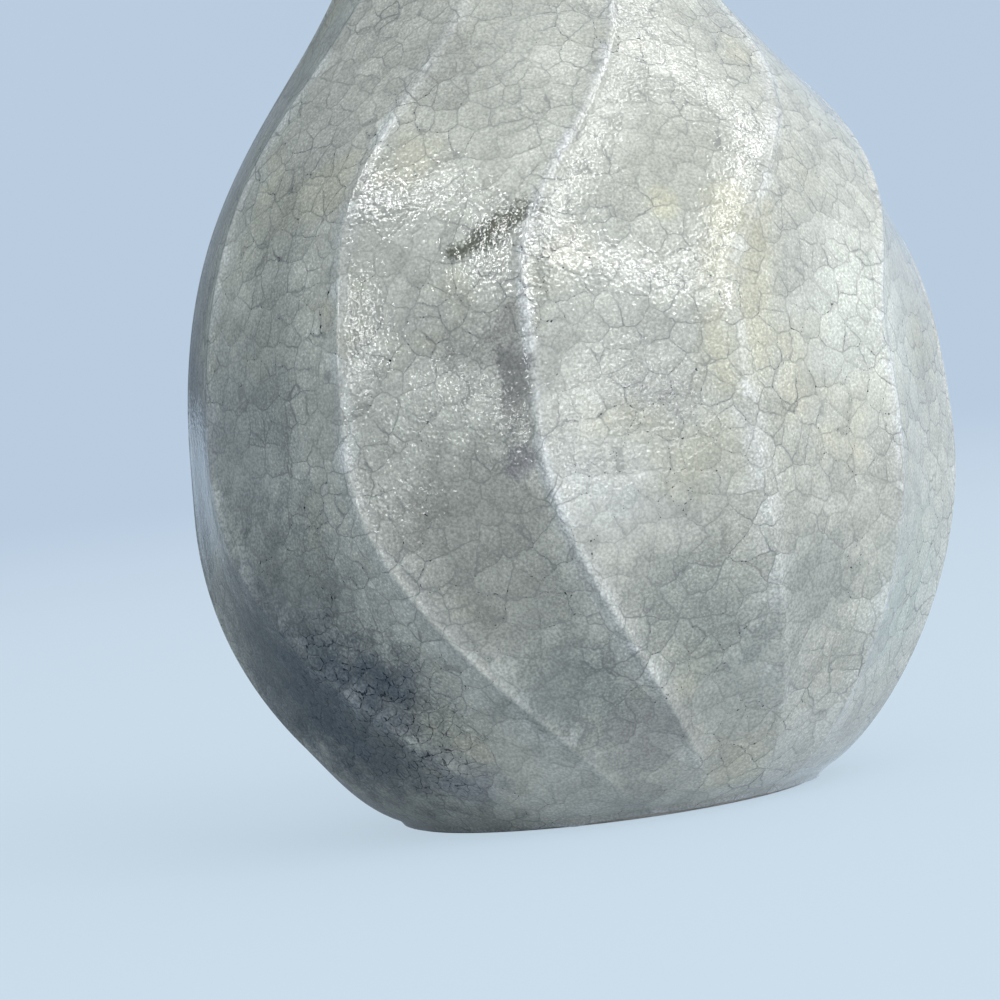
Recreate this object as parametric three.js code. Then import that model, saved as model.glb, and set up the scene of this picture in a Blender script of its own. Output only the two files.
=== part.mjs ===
// A pear-shaped stoneware bottle vase with twelve pinched ribs under a thick crackled glaze.
// Millimetres, +Z up, origin on the ground under the middle of the foot.
// Angles are measured round the vertical axis from the front (-Y) towards the right (+X).

import * as THREE from 'three';

const { degToRad, lerp, smoothstep } = THREE.MathUtils;

// Outline of the glazed vase, measured over the rib crests
const HEIGHT = 129;
const LIP_RADIUS = 18.6;
const NECK_RADIUS = 11.9;
const NECK_HEIGHT = 106;
const BELLY_RADIUS = 38.3;
const BELLY_HEIGHT = 33;
const FOOT_GLAZE_RADIUS = 21.6;

// How far each curve of the outline runs on along its end tangents
const FOOT_FLARE_OUT = 7.4;
const FOOT_FLARE_UP = 3;
const BELLY_PULL_DOWN = 14;
const BELLY_PULL_UP = 45;
const NECK_PULL_DOWN = 36;
const NECK_PULL_UP = 9;
const LIP_FLARE_IN = 3.4;
const LIP_FLARE_DOWN = 5.5;

// Pinched ribs: the angle of each rib at the belly, how far it swings on its way down to the foot,
// and how far it swings on its way up to the neck, in degrees
const RIBS = [
  { belly: -66, foot: 50, neck: 27 },
  { belly: -34, foot: 41, neck: 34 },
  { belly: -4.5, foot: 28, neck: 42 },
  { belly: 26, foot: 11, neck: 50 },
  { belly: 55, foot: -7, neck: 50 },
  { belly: 85, foot: -14, neck: 44 },
  { belly: 114, foot: -12, neck: 40 },
  { belly: 144, foot: -6, neck: 34 },
  { belly: 174, foot: 4, neck: 28 },
  { belly: 204, foot: 16, neck: 24 },
  { belly: 234, foot: 28, neck: 22 },
  { belly: 264, foot: 40, neck: 24 },
];
const FOOT_SWING_TOP = 38;
const FOOT_SWING_POWER = 1.7;
const NECK_SWING_START = 52;
const NECK_SWING_START_SHIFT = 12;
const NECK_SWING_SPAN = 38;

// Hollow flutes between the ribs
const FLUTE_DEPTH = 1.9;
const FLUTE_SPACING = 30;
const FLUTE_SPACING_POWER = 0.7;
const CREST_ROUNDING = 0.12;
const FLUTE_FOOT_START = -2;
const FLUTE_FOOT_FULL = 13;
const FLUTE_NECK_FULL = 76;
const FLUTE_NECK_END = 112;

// Clay
const CLAY_WALL = 2.6;
const LIP_WALL = 1.8;
const FOOT_RING_RADIUS = 20.5;
const FOOT_RING_WIDTH = 4.4;
const FOOT_RING_HEIGHT = 3;
const FOOT_RING_CHAMFER = 0.5;
const SLAB_RADIUS = 19.4;
const SLAB_THICKNESS = 4;
const SLAB_CLEARANCE = 0.3;
const FLOOR_FILLET_HEIGHT = 7;
const BELLY_SEAM_HEIGHT = 33;
const NECK_SEAM_HEIGHT = 86;
const SLIP_THICKNESS = 0.4;
const SLIP_EDGE_INSET = 0.3;

// Glaze
const GLAZE_FOOT_LINE = 0.9;
const GLAZE_ON_CREST = 0.6;
const GLAZE_IN_FLUTE = 1.2;
const GLAZE_FIT = 0.2;
const INNER_GLAZE = 0.45;
const LIP_GLAZE = 0.9;
const LIP_ROUNDING = 1.3;
const BASE_GLAZE = 0.5;
const BASE_GLAZE_CLEARANCE = 0.3;

// Facets
const GLAZE_COLUMNS_PER_FLUTE = 5;
const CLAY_COLUMNS_PER_FLUTE = 4;
const ROUND_SEGMENTS = 24;
const FOOT_SEGMENTS = 48;
const FILLET_BANDS = 3;
const LIP_BANDS = 3;
const LOWER_BANDS = 5;
const UPPER_BANDS = 7;
const NECK_BANDS = 6;
const PROFILE_SEARCH_STEPS = 40;

const clayMaterial = new THREE.MeshStandardMaterial({ color: 0x8b7f74, roughness: 0.85, metalness: 0 });
const slipMaterial = new THREE.MeshStandardMaterial({ color: 0x9c9186, roughness: 0.9, metalness: 0 });
const footMaterial = new THREE.MeshStandardMaterial({ color: 0x6d5f55, roughness: 0.8, metalness: 0 });
const glazeMaterial = new THREE.MeshStandardMaterial({ color: 0xa9b0ac, roughness: 0.12, metalness: 0 });
const innerGlazeMaterial = new THREE.MeshStandardMaterial({ color: 0xb2b8b3, roughness: 0.2, metalness: 0 });

// The outline as three curves of (radius, height): foot to belly, belly to neck, neck to lip
const outline = [
  new THREE.CubicBezierCurve(
    new THREE.Vector2(FOOT_GLAZE_RADIUS, GLAZE_FOOT_LINE),
    new THREE.Vector2(FOOT_GLAZE_RADIUS + FOOT_FLARE_OUT, GLAZE_FOOT_LINE + FOOT_FLARE_UP),
    new THREE.Vector2(BELLY_RADIUS, BELLY_HEIGHT - BELLY_PULL_DOWN),
    new THREE.Vector2(BELLY_RADIUS, BELLY_HEIGHT),
  ),
  new THREE.CubicBezierCurve(
    new THREE.Vector2(BELLY_RADIUS, BELLY_HEIGHT),
    new THREE.Vector2(BELLY_RADIUS, BELLY_HEIGHT + BELLY_PULL_UP),
    new THREE.Vector2(NECK_RADIUS, NECK_HEIGHT - NECK_PULL_DOWN),
    new THREE.Vector2(NECK_RADIUS, NECK_HEIGHT),
  ),
  new THREE.CubicBezierCurve(
    new THREE.Vector2(NECK_RADIUS, NECK_HEIGHT),
    new THREE.Vector2(NECK_RADIUS, NECK_HEIGHT + NECK_PULL_UP),
    new THREE.Vector2(LIP_RADIUS - LIP_FLARE_IN, HEIGHT - LIP_FLARE_DOWN),
    new THREE.Vector2(LIP_RADIUS, HEIGHT),
  ),
];

// Radius of the outline at a height, found by halving the curve parameter
function outlineRadius(height) {
  const curve = outline.find((piece) => height <= piece.v3.y) ?? outline[outline.length - 1];
  let low = 0;
  let high = 1;
  for (let step = 0; step < PROFILE_SEARCH_STEPS; step++) {
    const middle = (low + high) / 2;
    if (curve.getPoint(middle).y < height) low = middle;
    else high = middle;
  }
  return curve.getPoint((low + high) / 2).x;
}

// Angle of one rib at a height, in degrees: its belly angle, bent one way below and above the belly
function ribAngle(index, height) {
  const rib = RIBS[index % RIBS.length];
  const turns = Math.floor(index / RIBS.length) * 360;
  const down = Math.max((FOOT_SWING_TOP - height) / FOOT_SWING_TOP, 0) ** FOOT_SWING_POWER;
  const start = NECK_SWING_START - NECK_SWING_START_SHIFT * Math.sin(degToRad(rib.belly));
  const up = smoothstep(height, start, start + NECK_SWING_SPAN);
  return turns + rib.belly + rib.foot * down + rib.neck * up;
}

// Share of the full flute depth across one flute, 0 on both crests and 1 in the middle
function fluteShape(across) {
  const wave = Math.hypot(Math.sin(Math.PI * across), CREST_ROUNDING) - CREST_ROUNDING;
  return wave / (Math.hypot(1, CREST_ROUNDING) - CREST_ROUNDING);
}

// Flutes die away at the foot line and up the neck
function fluteFade(height) {
  const foot = smoothstep(height, FLUTE_FOOT_START, FLUTE_FOOT_FULL);
  return foot * (1 - smoothstep(height, FLUTE_NECK_FULL, FLUTE_NECK_END));
}

// One point of the fluted surface: a column is a place across a flute, and it follows the ribs
function flutedPoint(column, columnsPerFlute, height, skin) {
  const flute = Math.floor(column / columnsPerFlute);
  const across = (column % columnsPerFlute) / columnsPerFlute;
  const left = ribAngle(flute, height);
  const right = ribAngle(flute + 1, height);
  const shape = fluteShape(across);
  const radius = outlineRadius(height);
  const width = ((right - left) / FLUTE_SPACING) ** FLUTE_SPACING_POWER;
  const hollow = shape * fluteFade(height);
  const depth = FLUTE_DEPTH * width * (radius / BELLY_RADIUS);
  return { angle: lerp(left, right, across), radius: radius - depth * hollow - skin(hollow) };
}

// Depth below the outer surface of the inside of the glaze, and of the clay under it
const onSurface = () => 0;
const underGlaze = (hollow) => lerp(GLAZE_ON_CREST, GLAZE_IN_FLUTE, hollow);
const onClay = (hollow) => underGlaze(hollow) + GLAZE_FIT;

function flutedRing(columnsPerFlute, height, skin) {
  const points = [];
  for (let column = 0; column < RIBS.length * columnsPerFlute; column++) {
    points.push({ ...flutedPoint(column, columnsPerFlute, height, skin), height });
  }
  return points;
}

// The same columns moved to one radius and another height
function evenRing(ring, radius, height) {
  return ring.map(({ angle }) => ({ angle, radius, height }));
}

function roundRing(segments, radius, height) {
  const step = 360 / segments;
  return Array.from({ length: segments }, (_, index) => ({ angle: index * step, radius, height }));
}

// Heights from one level to another in even steps
function levels(from, to, bands) {
  return Array.from({ length: bands + 1 }, (_, index) => lerp(from, to, index / bands));
}

// A closed body from rings in order round its wall: up the outside, then down the inside
function ringBody(rings) {
  const positions = [];
  const starts = rings.map((ring) => {
    const start = positions.length / 3;
    for (const { angle, radius, height } of ring) {
      const turn = degToRad(angle);
      positions.push(radius * Math.sin(turn), -radius * Math.cos(turn), height);
    }
    return start;
  });
  const triangles = [];
  rings.forEach((ring, index) => {
    const next = (index + 1) % rings.length;
    triangles.push(...joinRings(ring, starts[index], rings[next], starts[next]));
  });
  const geometry = new THREE.BufferGeometry();
  geometry.setAttribute('position', new THREE.Float32BufferAttribute(positions, 3));
  geometry.setIndex(triangles);
  geometry.computeVertexNormals();
  return geometry;
}

// Triangles between two rings: column by column where their counts match, otherwise round by angle.
// Matched columns are cut along the same diagonal on the way up and on the way down, so skins nest.
function joinRings(first, firstStart, second, secondStart) {
  const aligned = first.length === second.length;
  const lead = first[0].height <= second[0].height ? 0 : 1;
  const offset = aligned ? 0 : nearestIndex(second, first[0].angle);
  const firstTurns = unrolled(first, 0, first[0].angle);
  const secondTurns = unrolled(second, offset, first[0].angle);
  const triangles = [];
  let a = 0;
  let b = 0;
  while (a < first.length || b < second.length) {
    const behind = aligned ? a + lead <= b : firstTurns[a + 1] <= secondTurns[b + 1];
    const cornerA = firstStart + (a % first.length);
    const cornerB = secondStart + ((b + offset) % second.length);
    if (b === second.length || (a < first.length && behind)) {
      a++;
      triangles.push(cornerA, firstStart + (a % first.length), cornerB);
    } else {
      b++;
      triangles.push(cornerA, secondStart + ((b + offset) % second.length), cornerB);
    }
  }
  return triangles;
}

// Angles of a ring from one of its points on, once round, in the turn that lies nearest a given angle
function unrolled(ring, first, near) {
  const shift = 360 * Math.round((near - ring[first].angle) / 360);
  return Array.from({ length: ring.length + 1 }, (_, step) => {
    const place = first + step;
    return ring[place % ring.length].angle + 360 * Math.floor(place / ring.length) + shift;
  });
}

// The point of a ring that lies nearest an angle, whole turns aside
function nearestIndex(ring, angle) {
  const gaps = ring.map((point) => {
    const turn = point.angle - angle;
    return Math.abs(turn - 360 * Math.round(turn / 360));
  });
  return gaps.indexOf(Math.min(...gaps));
}

// A turned body from an outline of [radius, height] points, running anticlockwise in that plane
function turned(points, segments) {
  const geometry = new THREE.LatheGeometry(points.map(([r, z]) => new THREE.Vector2(r, z)), segments);
  geometry.rotateX(Math.PI / 2);
  return geometry;
}

// Levels and radii that the pieces share
const SLAB_TOP = FOOT_RING_HEIGHT + SLAB_THICKNESS;
const SLAB_SEAT_RADIUS = SLAB_RADIUS + SLAB_CLEARANCE;
const FILLET_TOP = SLAB_TOP + FLOOR_FILLET_HEIGHT;
const CLAY_TOP = HEIGHT - LIP_GLAZE;
const FOOT_RING_BORE = FOOT_RING_RADIUS - FOOT_RING_WIDTH;
const HALF_SLIP = SLIP_THICKNESS / 2;

// Wall levels from the foot ring to the lip, with one on each seam
function wallLevels(first, lowerBands, upperBands, neckBands) {
  return [
    ...levels(first, BELLY_SEAM_HEIGHT, lowerBands),
    ...levels(BELLY_SEAM_HEIGHT, NECK_SEAM_HEIGHT, upperBands).slice(1),
    ...levels(NECK_SEAM_HEIGHT, CLAY_TOP, neckBands).slice(1),
  ];
}
const clayLevels = wallLevels(FOOT_RING_HEIGHT, LOWER_BANDS, UPPER_BANDS, NECK_BANDS);
const glazeLevels = wallLevels(FOOT_RING_HEIGHT, 2 * LOWER_BANDS, 2 * UPPER_BANDS, 2 * NECK_BANDS);
const hollowLevels = [
  ...levels(SLAB_TOP, FILLET_TOP, FILLET_BANDS).slice(0, -1),
  ...wallLevels(FILLET_TOP, LOWER_BANDS - 1, UPPER_BANDS, NECK_BANDS),
];

// The shared levels inside a section, with the section's own ends
function section(shared, from, to) {
  return [from, ...shared.filter((height) => height > from && height < to), to];
}

// Largest round radius that stays inside the fluted clay at a height
function clayRadius(height) {
  return Math.min(...flutedRing(CLAY_COLUMNS_PER_FLUTE, height, onClay).map((point) => point.radius));
}

// Radius of the round hollow inside the clay, with a fillet where the wall rises from the floor
function hollowRadius(height) {
  const wall = lerp(CLAY_WALL, LIP_WALL, smoothstep(height, NECK_HEIGHT, HEIGHT));
  if (height >= FILLET_TOP) return clayRadius(height) - wall;
  const open = clayRadius(FILLET_TOP) - wall;
  const below = (FILLET_TOP - height) / FLOOR_FILLET_HEIGHT;
  return lerp(open, SLAB_SEAT_RADIUS, below ** 2);
}

// One clay section of the wall: fluted outside, round inside, flat at both ends
function clayWall(from, to) {
  const outside = section(clayLevels, from, to);
  const inside = section(hollowLevels, Math.max(from, SLAB_TOP), to);
  const rings = inside.map((height) => roundRing(ROUND_SEGMENTS, hollowRadius(height), height));
  if (from < SLAB_TOP) rings.unshift(roundRing(ROUND_SEGMENTS, SLAB_SEAT_RADIUS, from));
  return ringBody([
    ...outside.map((height) => flutedRing(CLAY_COLUMNS_PER_FLUTE, height, onClay)),
    ...rings.reverse(),
  ]);
}

// A flat ring of slip in a seam, drawn in a little from both faces of the wall
function seamSlip(seam) {
  const outside = flutedRing(CLAY_COLUMNS_PER_FLUTE, seam, onClay);
  const inside = roundRing(ROUND_SEGMENTS, hollowRadius(seam) + SLIP_EDGE_INSET, seam);
  const inset = outside.map((point) => ({ ...point, radius: point.radius - SLIP_EDGE_INSET }));
  const at = (ring, height) => ring.map((point) => ({ ...point, height }));
  return ringBody([
    at(inset, seam - HALF_SLIP),
    at(inset, seam + HALF_SLIP),
    at(inside, seam + HALF_SLIP),
    at(inside, seam - HALF_SLIP),
  ]);
}

// The turned foot ring: a narrow bare band below the glaze line, then a cone out to the wall that it carries
function footRing() {
  const top = clayRadius(FOOT_RING_HEIGHT);
  return turned([
    [FOOT_RING_BORE + FOOT_RING_CHAMFER, 0],
    [FOOT_RING_RADIUS - FOOT_RING_CHAMFER, 0],
    [FOOT_RING_RADIUS, FOOT_RING_CHAMFER],
    [FOOT_RING_RADIUS, GLAZE_FOOT_LINE],
    [top, FOOT_RING_HEIGHT],
    [FOOT_RING_BORE, FOOT_RING_HEIGHT],
    [FOOT_RING_BORE, FOOT_RING_CHAMFER],
    [FOOT_RING_BORE + FOOT_RING_CHAMFER, 0],
  ], FOOT_SEGMENTS);
}

function baseSlab() {
  return turned([
    [0, FOOT_RING_HEIGHT],
    [SLAB_RADIUS, FOOT_RING_HEIGHT],
    [SLAB_RADIUS, SLAB_TOP],
    [0, SLAB_TOP],
  ], FOOT_SEGMENTS);
}

// The disc of glaze on the underside of the floor, inside the foot ring
function baseGlaze() {
  const top = FOOT_RING_HEIGHT - GLAZE_FIT;
  const radius = FOOT_RING_BORE - BASE_GLAZE_CLEARANCE;
  return turned([
    [0, top - BASE_GLAZE],
    [radius, top - BASE_GLAZE],
    [radius, top],
    [0, top],
  ], FOOT_SEGMENTS);
}

// The outer coat: ribs and flutes outside, a rounded lip over the clay, and the clay's own form inside
function outerGlaze() {
  const outside = [GLAZE_FOOT_LINE, ...glazeLevels].filter((height) => height < HEIGHT - LIP_ROUNDING);
  const outerRings = outside.map((height) => flutedRing(GLAZE_COLUMNS_PER_FLUTE, height, onSurface));
  const lipBase = HEIGHT - LIP_ROUNDING;
  const columns = outerRings[outerRings.length - 1];
  const lipOuter = outlineRadius(lipBase);
  const lipUnder = CLAY_TOP + GLAZE_FIT;
  const mouth = hollowRadius(CLAY_TOP) - GLAZE_FIT - INNER_GLAZE;
  const innerRounding = HEIGHT - lipUnder;
  const turns = levels(0, Math.PI / 2, LIP_BANDS);
  const lipOut = turns.map((turn) => evenRing(
    columns,
    lipOuter - LIP_ROUNDING * (1 - Math.cos(turn)),
    lipBase + LIP_ROUNDING * Math.sin(turn),
  ));
  const lipIn = turns.map((turn) => evenRing(
    columns,
    mouth + innerRounding * (1 - Math.cos(turn)),
    lipUnder + innerRounding * Math.sin(turn),
  ));
  const under = [...clayLevels.slice(0, -1), lipUnder];
  const innerRings = under.map((height) => flutedRing(CLAY_COLUMNS_PER_FLUTE, height, underGlaze));
  const edge = evenRing(
    flutedRing(CLAY_COLUMNS_PER_FLUTE, GLAZE_FOOT_LINE, underGlaze),
    FOOT_RING_RADIUS + GLAZE_FIT,
    GLAZE_FOOT_LINE,
  );
  return ringBody([...outerRings, ...lipOut, ...lipIn.reverse(), ...innerRings.reverse(), edge]);
}

// The inner coat: a cup that follows the hollow from the floor to the lip
function innerGlaze() {
  const floor = SLAB_TOP + GLAZE_FIT;
  const wall = hollowLevels.slice(1);
  const outer = wall.map((height) => [hollowRadius(height) - GLAZE_FIT, height]);
  const inner = wall.map((height) => [hollowRadius(height) - GLAZE_FIT - INNER_GLAZE, height]);
  return turned([
    [0, floor],
    [SLAB_SEAT_RADIUS - GLAZE_FIT, floor],
    ...outer,
    ...inner.reverse(),
    [SLAB_SEAT_RADIUS - GLAZE_FIT - INNER_GLAZE, floor + INNER_GLAZE],
    [0, floor + INNER_GLAZE],
  ], ROUND_SEGMENTS);
}

const group = new THREE.Group();

function add(name, geometry, material) {
  const mesh = new THREE.Mesh(geometry, material);
  mesh.name = name;
  group.add(mesh);
}

add('foot_ring', footRing(), footMaterial);
add('base_slab', baseSlab(), clayMaterial);
add('lower_belly', clayWall(FOOT_RING_HEIGHT, BELLY_SEAM_HEIGHT - HALF_SLIP), clayMaterial);
add('belly_seam_slip', seamSlip(BELLY_SEAM_HEIGHT), slipMaterial);
add('upper_belly', clayWall(BELLY_SEAM_HEIGHT + HALF_SLIP, NECK_SEAM_HEIGHT - HALF_SLIP), clayMaterial);
add('neck_seam_slip', seamSlip(NECK_SEAM_HEIGHT), slipMaterial);
add('neck', clayWall(NECK_SEAM_HEIGHT + HALF_SLIP, CLAY_TOP), clayMaterial);
add('outer_glaze', outerGlaze(), glazeMaterial);
add('inner_glaze', innerGlaze(), innerGlazeMaterial);
add('base_glaze', baseGlaze(), innerGlazeMaterial);

export default group;
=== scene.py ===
"""A crackle-glazed stoneware bottle vase with twelve pinched ribs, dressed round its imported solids.

The glaze coats and the foot ring are rebuilt as fine surfaces from the outline and the ribs, and every
finish is procedural. Lengths are in metres, angles in degrees from the front (-Y) towards the right (+X).
"""

import logging
import math
from dataclasses import dataclass, field
from enum import Enum
from functools import partial

import bpy
import numpy as np
from mathutils import Matrix, Vector

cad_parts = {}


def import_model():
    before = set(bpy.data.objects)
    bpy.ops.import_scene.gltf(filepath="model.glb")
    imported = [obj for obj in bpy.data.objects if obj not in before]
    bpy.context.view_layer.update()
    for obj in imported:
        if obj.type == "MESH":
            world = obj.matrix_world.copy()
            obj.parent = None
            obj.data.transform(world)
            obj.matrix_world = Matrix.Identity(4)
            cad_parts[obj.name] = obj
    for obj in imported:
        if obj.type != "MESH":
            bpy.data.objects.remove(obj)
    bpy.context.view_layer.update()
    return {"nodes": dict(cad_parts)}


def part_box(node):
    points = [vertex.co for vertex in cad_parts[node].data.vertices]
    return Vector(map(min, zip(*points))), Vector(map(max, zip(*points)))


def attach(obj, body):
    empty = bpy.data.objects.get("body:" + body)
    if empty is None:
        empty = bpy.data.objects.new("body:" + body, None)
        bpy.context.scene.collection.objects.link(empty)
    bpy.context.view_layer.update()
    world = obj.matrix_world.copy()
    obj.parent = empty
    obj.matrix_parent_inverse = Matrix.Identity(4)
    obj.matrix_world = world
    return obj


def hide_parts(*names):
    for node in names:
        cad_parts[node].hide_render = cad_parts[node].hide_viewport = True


log = logging.getLogger("vase")

MM = 0.001
BODY = "root"
VASE_MIDDLE = (0.0, 0.0, 50 * MM)
FLUTE_HOLLOW = 0.5 * MM
RING_PITCH = 0.7 * MM
ROUNDING_LIMIT = 0.45
WARPS_PER_CELL = 1.6
WARP_REACH = 0.42
# Each crackle cell is painted darker towards this direction, as painted shade on its lower side.
LOWER_RIGHT = (0.45, -0.2, -0.85)
LEAN_REACH = 0.4
EDGE_REACH = 0.33
WAVE_SIZE = 3.0
WAVE_SHARE = 0.7
CLAY_CLOUD = 3 * MM
CLAY_GRAIN = 0.35 * MM
Array = np.ndarray
Socket = bpy.types.NodeSocket
Node = bpy.types.Node
Colour = tuple[float, float, float]


def smoothstep(value: Array, low: float | Array, high: float | Array) -> Array:
    """Ease from 0 at low to 1 at high.

    Args:
        value: where to measure.
        low: where the rise starts.
        high: where the rise ends.

    Returns:
        3t^2 - 2t^3 of the clipped share t of the way from low to high.
    """
    share = np.clip((value - low) / (high - low), 0.0, 1.0)
    return share * share * (3.0 - 2.0 * share)


def bezier(points: tuple[tuple[float, float], ...], count: int) -> Array:
    """Sample a cubic curve.

    Args:
        points: the two ends and the two handles between them, as (radius, height).
        count: how many samples to take.

    Returns:
        An array of (radius, height) rows: the four points blended by the cubic Bernstein weights.
    """
    t = np.linspace(0.0, 1.0, count)
    weights = np.stack([(1 - t) ** 3, 3 * (1 - t) ** 2 * t, 3 * (1 - t) * t**2, t**3], axis=1)
    return weights @ np.asarray(points)


def ripple(angle: Array, height: Array, seed: float) -> Array:
    """Slow, smooth unevenness of a hand-built wall.

    Args:
        angle: degrees round the vase.
        height: metres above the ground.
        seed: moves the pattern.

    Returns:
        A mean of three crossed sine waves that close on themselves round the vase, from -1 to 1.
    """
    turn = np.radians(angle)
    first = np.sin(2 * turn + 95 * height + seed)
    second = np.sin(5 * turn - 160 * height + 2.3 * seed)
    third = np.sin(9 * turn + 240 * height + 4.1 * seed)
    return (first + 0.7 * second + 0.5 * third) / 2.2


@dataclass(frozen=True)
class Outline:
    """The vase's outline over the rib crests, as three curves from foot to lip."""

    height: float
    foot_line: float = 0.9 * MM
    foot_radius: float = 21.6 * MM
    foot_flare: tuple[float, float] = (7.4 * MM, 3.0 * MM)
    belly_radius: float = 38.3 * MM
    belly_height: float = 33 * MM
    belly_pull: tuple[float, float] = (14 * MM, 45 * MM)
    neck_radius: float = 11.9 * MM
    neck_height: float = 106 * MM
    neck_pull: tuple[float, float] = (36 * MM, 9 * MM)
    lip_radius: float = 18.6 * MM
    lip_flare: tuple[float, float] = (3.4 * MM, 5.5 * MM)
    samples: int = 900

    def curve(self) -> Array:
        """Sample the whole outline.

        Returns:
            Rows of (radius, height) from foot to lip, along three cubic curves that meet upright at the
            widest line and at the narrowest place of the neck.
        """
        foot = (self.foot_radius, self.foot_line)
        flare = (self.foot_radius + self.foot_flare[0], self.foot_line + self.foot_flare[1])
        below_belly = (self.belly_radius, self.belly_height - self.belly_pull[0])
        belly = (self.belly_radius, self.belly_height)
        above_belly = (self.belly_radius, self.belly_height + self.belly_pull[1])
        below_neck = (self.neck_radius, self.neck_height - self.neck_pull[0])
        neck = (self.neck_radius, self.neck_height)
        above_neck = (self.neck_radius, self.neck_height + self.neck_pull[1])
        below_lip = (self.lip_radius - self.lip_flare[0], self.height - self.lip_flare[1])
        lip = (self.lip_radius, self.height)
        return np.vstack([
            bezier((foot, flare, below_belly, belly), self.samples),
            bezier((belly, above_belly, below_neck, neck), self.samples)[1:],
            bezier((neck, above_neck, below_lip, lip), self.samples)[1:],
        ])

    def radius(self, height: Array) -> Array:
        """Radius over the crests at each height, read off the sampled curve."""
        curve = self.curve()
        return np.interp(height, curve[:, 1], curve[:, 0])


@dataclass(frozen=True)
class Ribs:
    """The twelve pinched ribs: the angle of each at the belly and its swings to the foot and the neck."""

    belly: tuple[float, ...] = (-66, -34, -4.5, 26, 55, 85, 114, 144, 174, 204, 234, 264)
    foot_swing: tuple[float, ...] = (50, 41, 28, 11, -7, -14, -12, -6, 4, 16, 28, 40)
    neck_swing: tuple[float, ...] = (27, 34, 42, 50, 50, 44, 40, 34, 28, 24, 22, 24)
    foot_swing_top: float = 38 * MM
    foot_swing_power: float = 1.7
    neck_swing_start: float = 52 * MM
    neck_start_shift: float = 12 * MM
    neck_swing_span: float = 38 * MM

    @property
    def count(self) -> int:
        """Number of ribs."""
        return len(self.belly)

    def angles(self, height: Array) -> Array:
        """Angle of each rib at each height, with the first rib once more at the end.

        Args:
            height: a grid of heights with one column per surface column, or one column in all.

        Returns:
            An array with a last axis of ribs: the belly angle, plus the foot swing times a power of the
            distance below its top, plus the neck swing times an eased rise above its start.
        """
        tall = np.asarray(height)[..., None]
        belly = np.asarray(self.belly, dtype=float)
        down = np.clip((self.foot_swing_top - tall) / self.foot_swing_top, 0.0, None) ** self.foot_swing_power
        start = self.neck_swing_start - self.neck_start_shift * np.sin(np.radians(belly))
        up = smoothstep(tall, start, start + self.neck_swing_span)
        angles = belly + np.asarray(self.foot_swing) * down + np.asarray(self.neck_swing) * up
        return np.concatenate([angles, angles[..., :1] + 360.0], axis=-1)


@dataclass(frozen=True)
class Dent:
    """A shallow press of the thumb in a flute."""

    angle: float
    height: float
    reach: float
    depth: float


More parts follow.
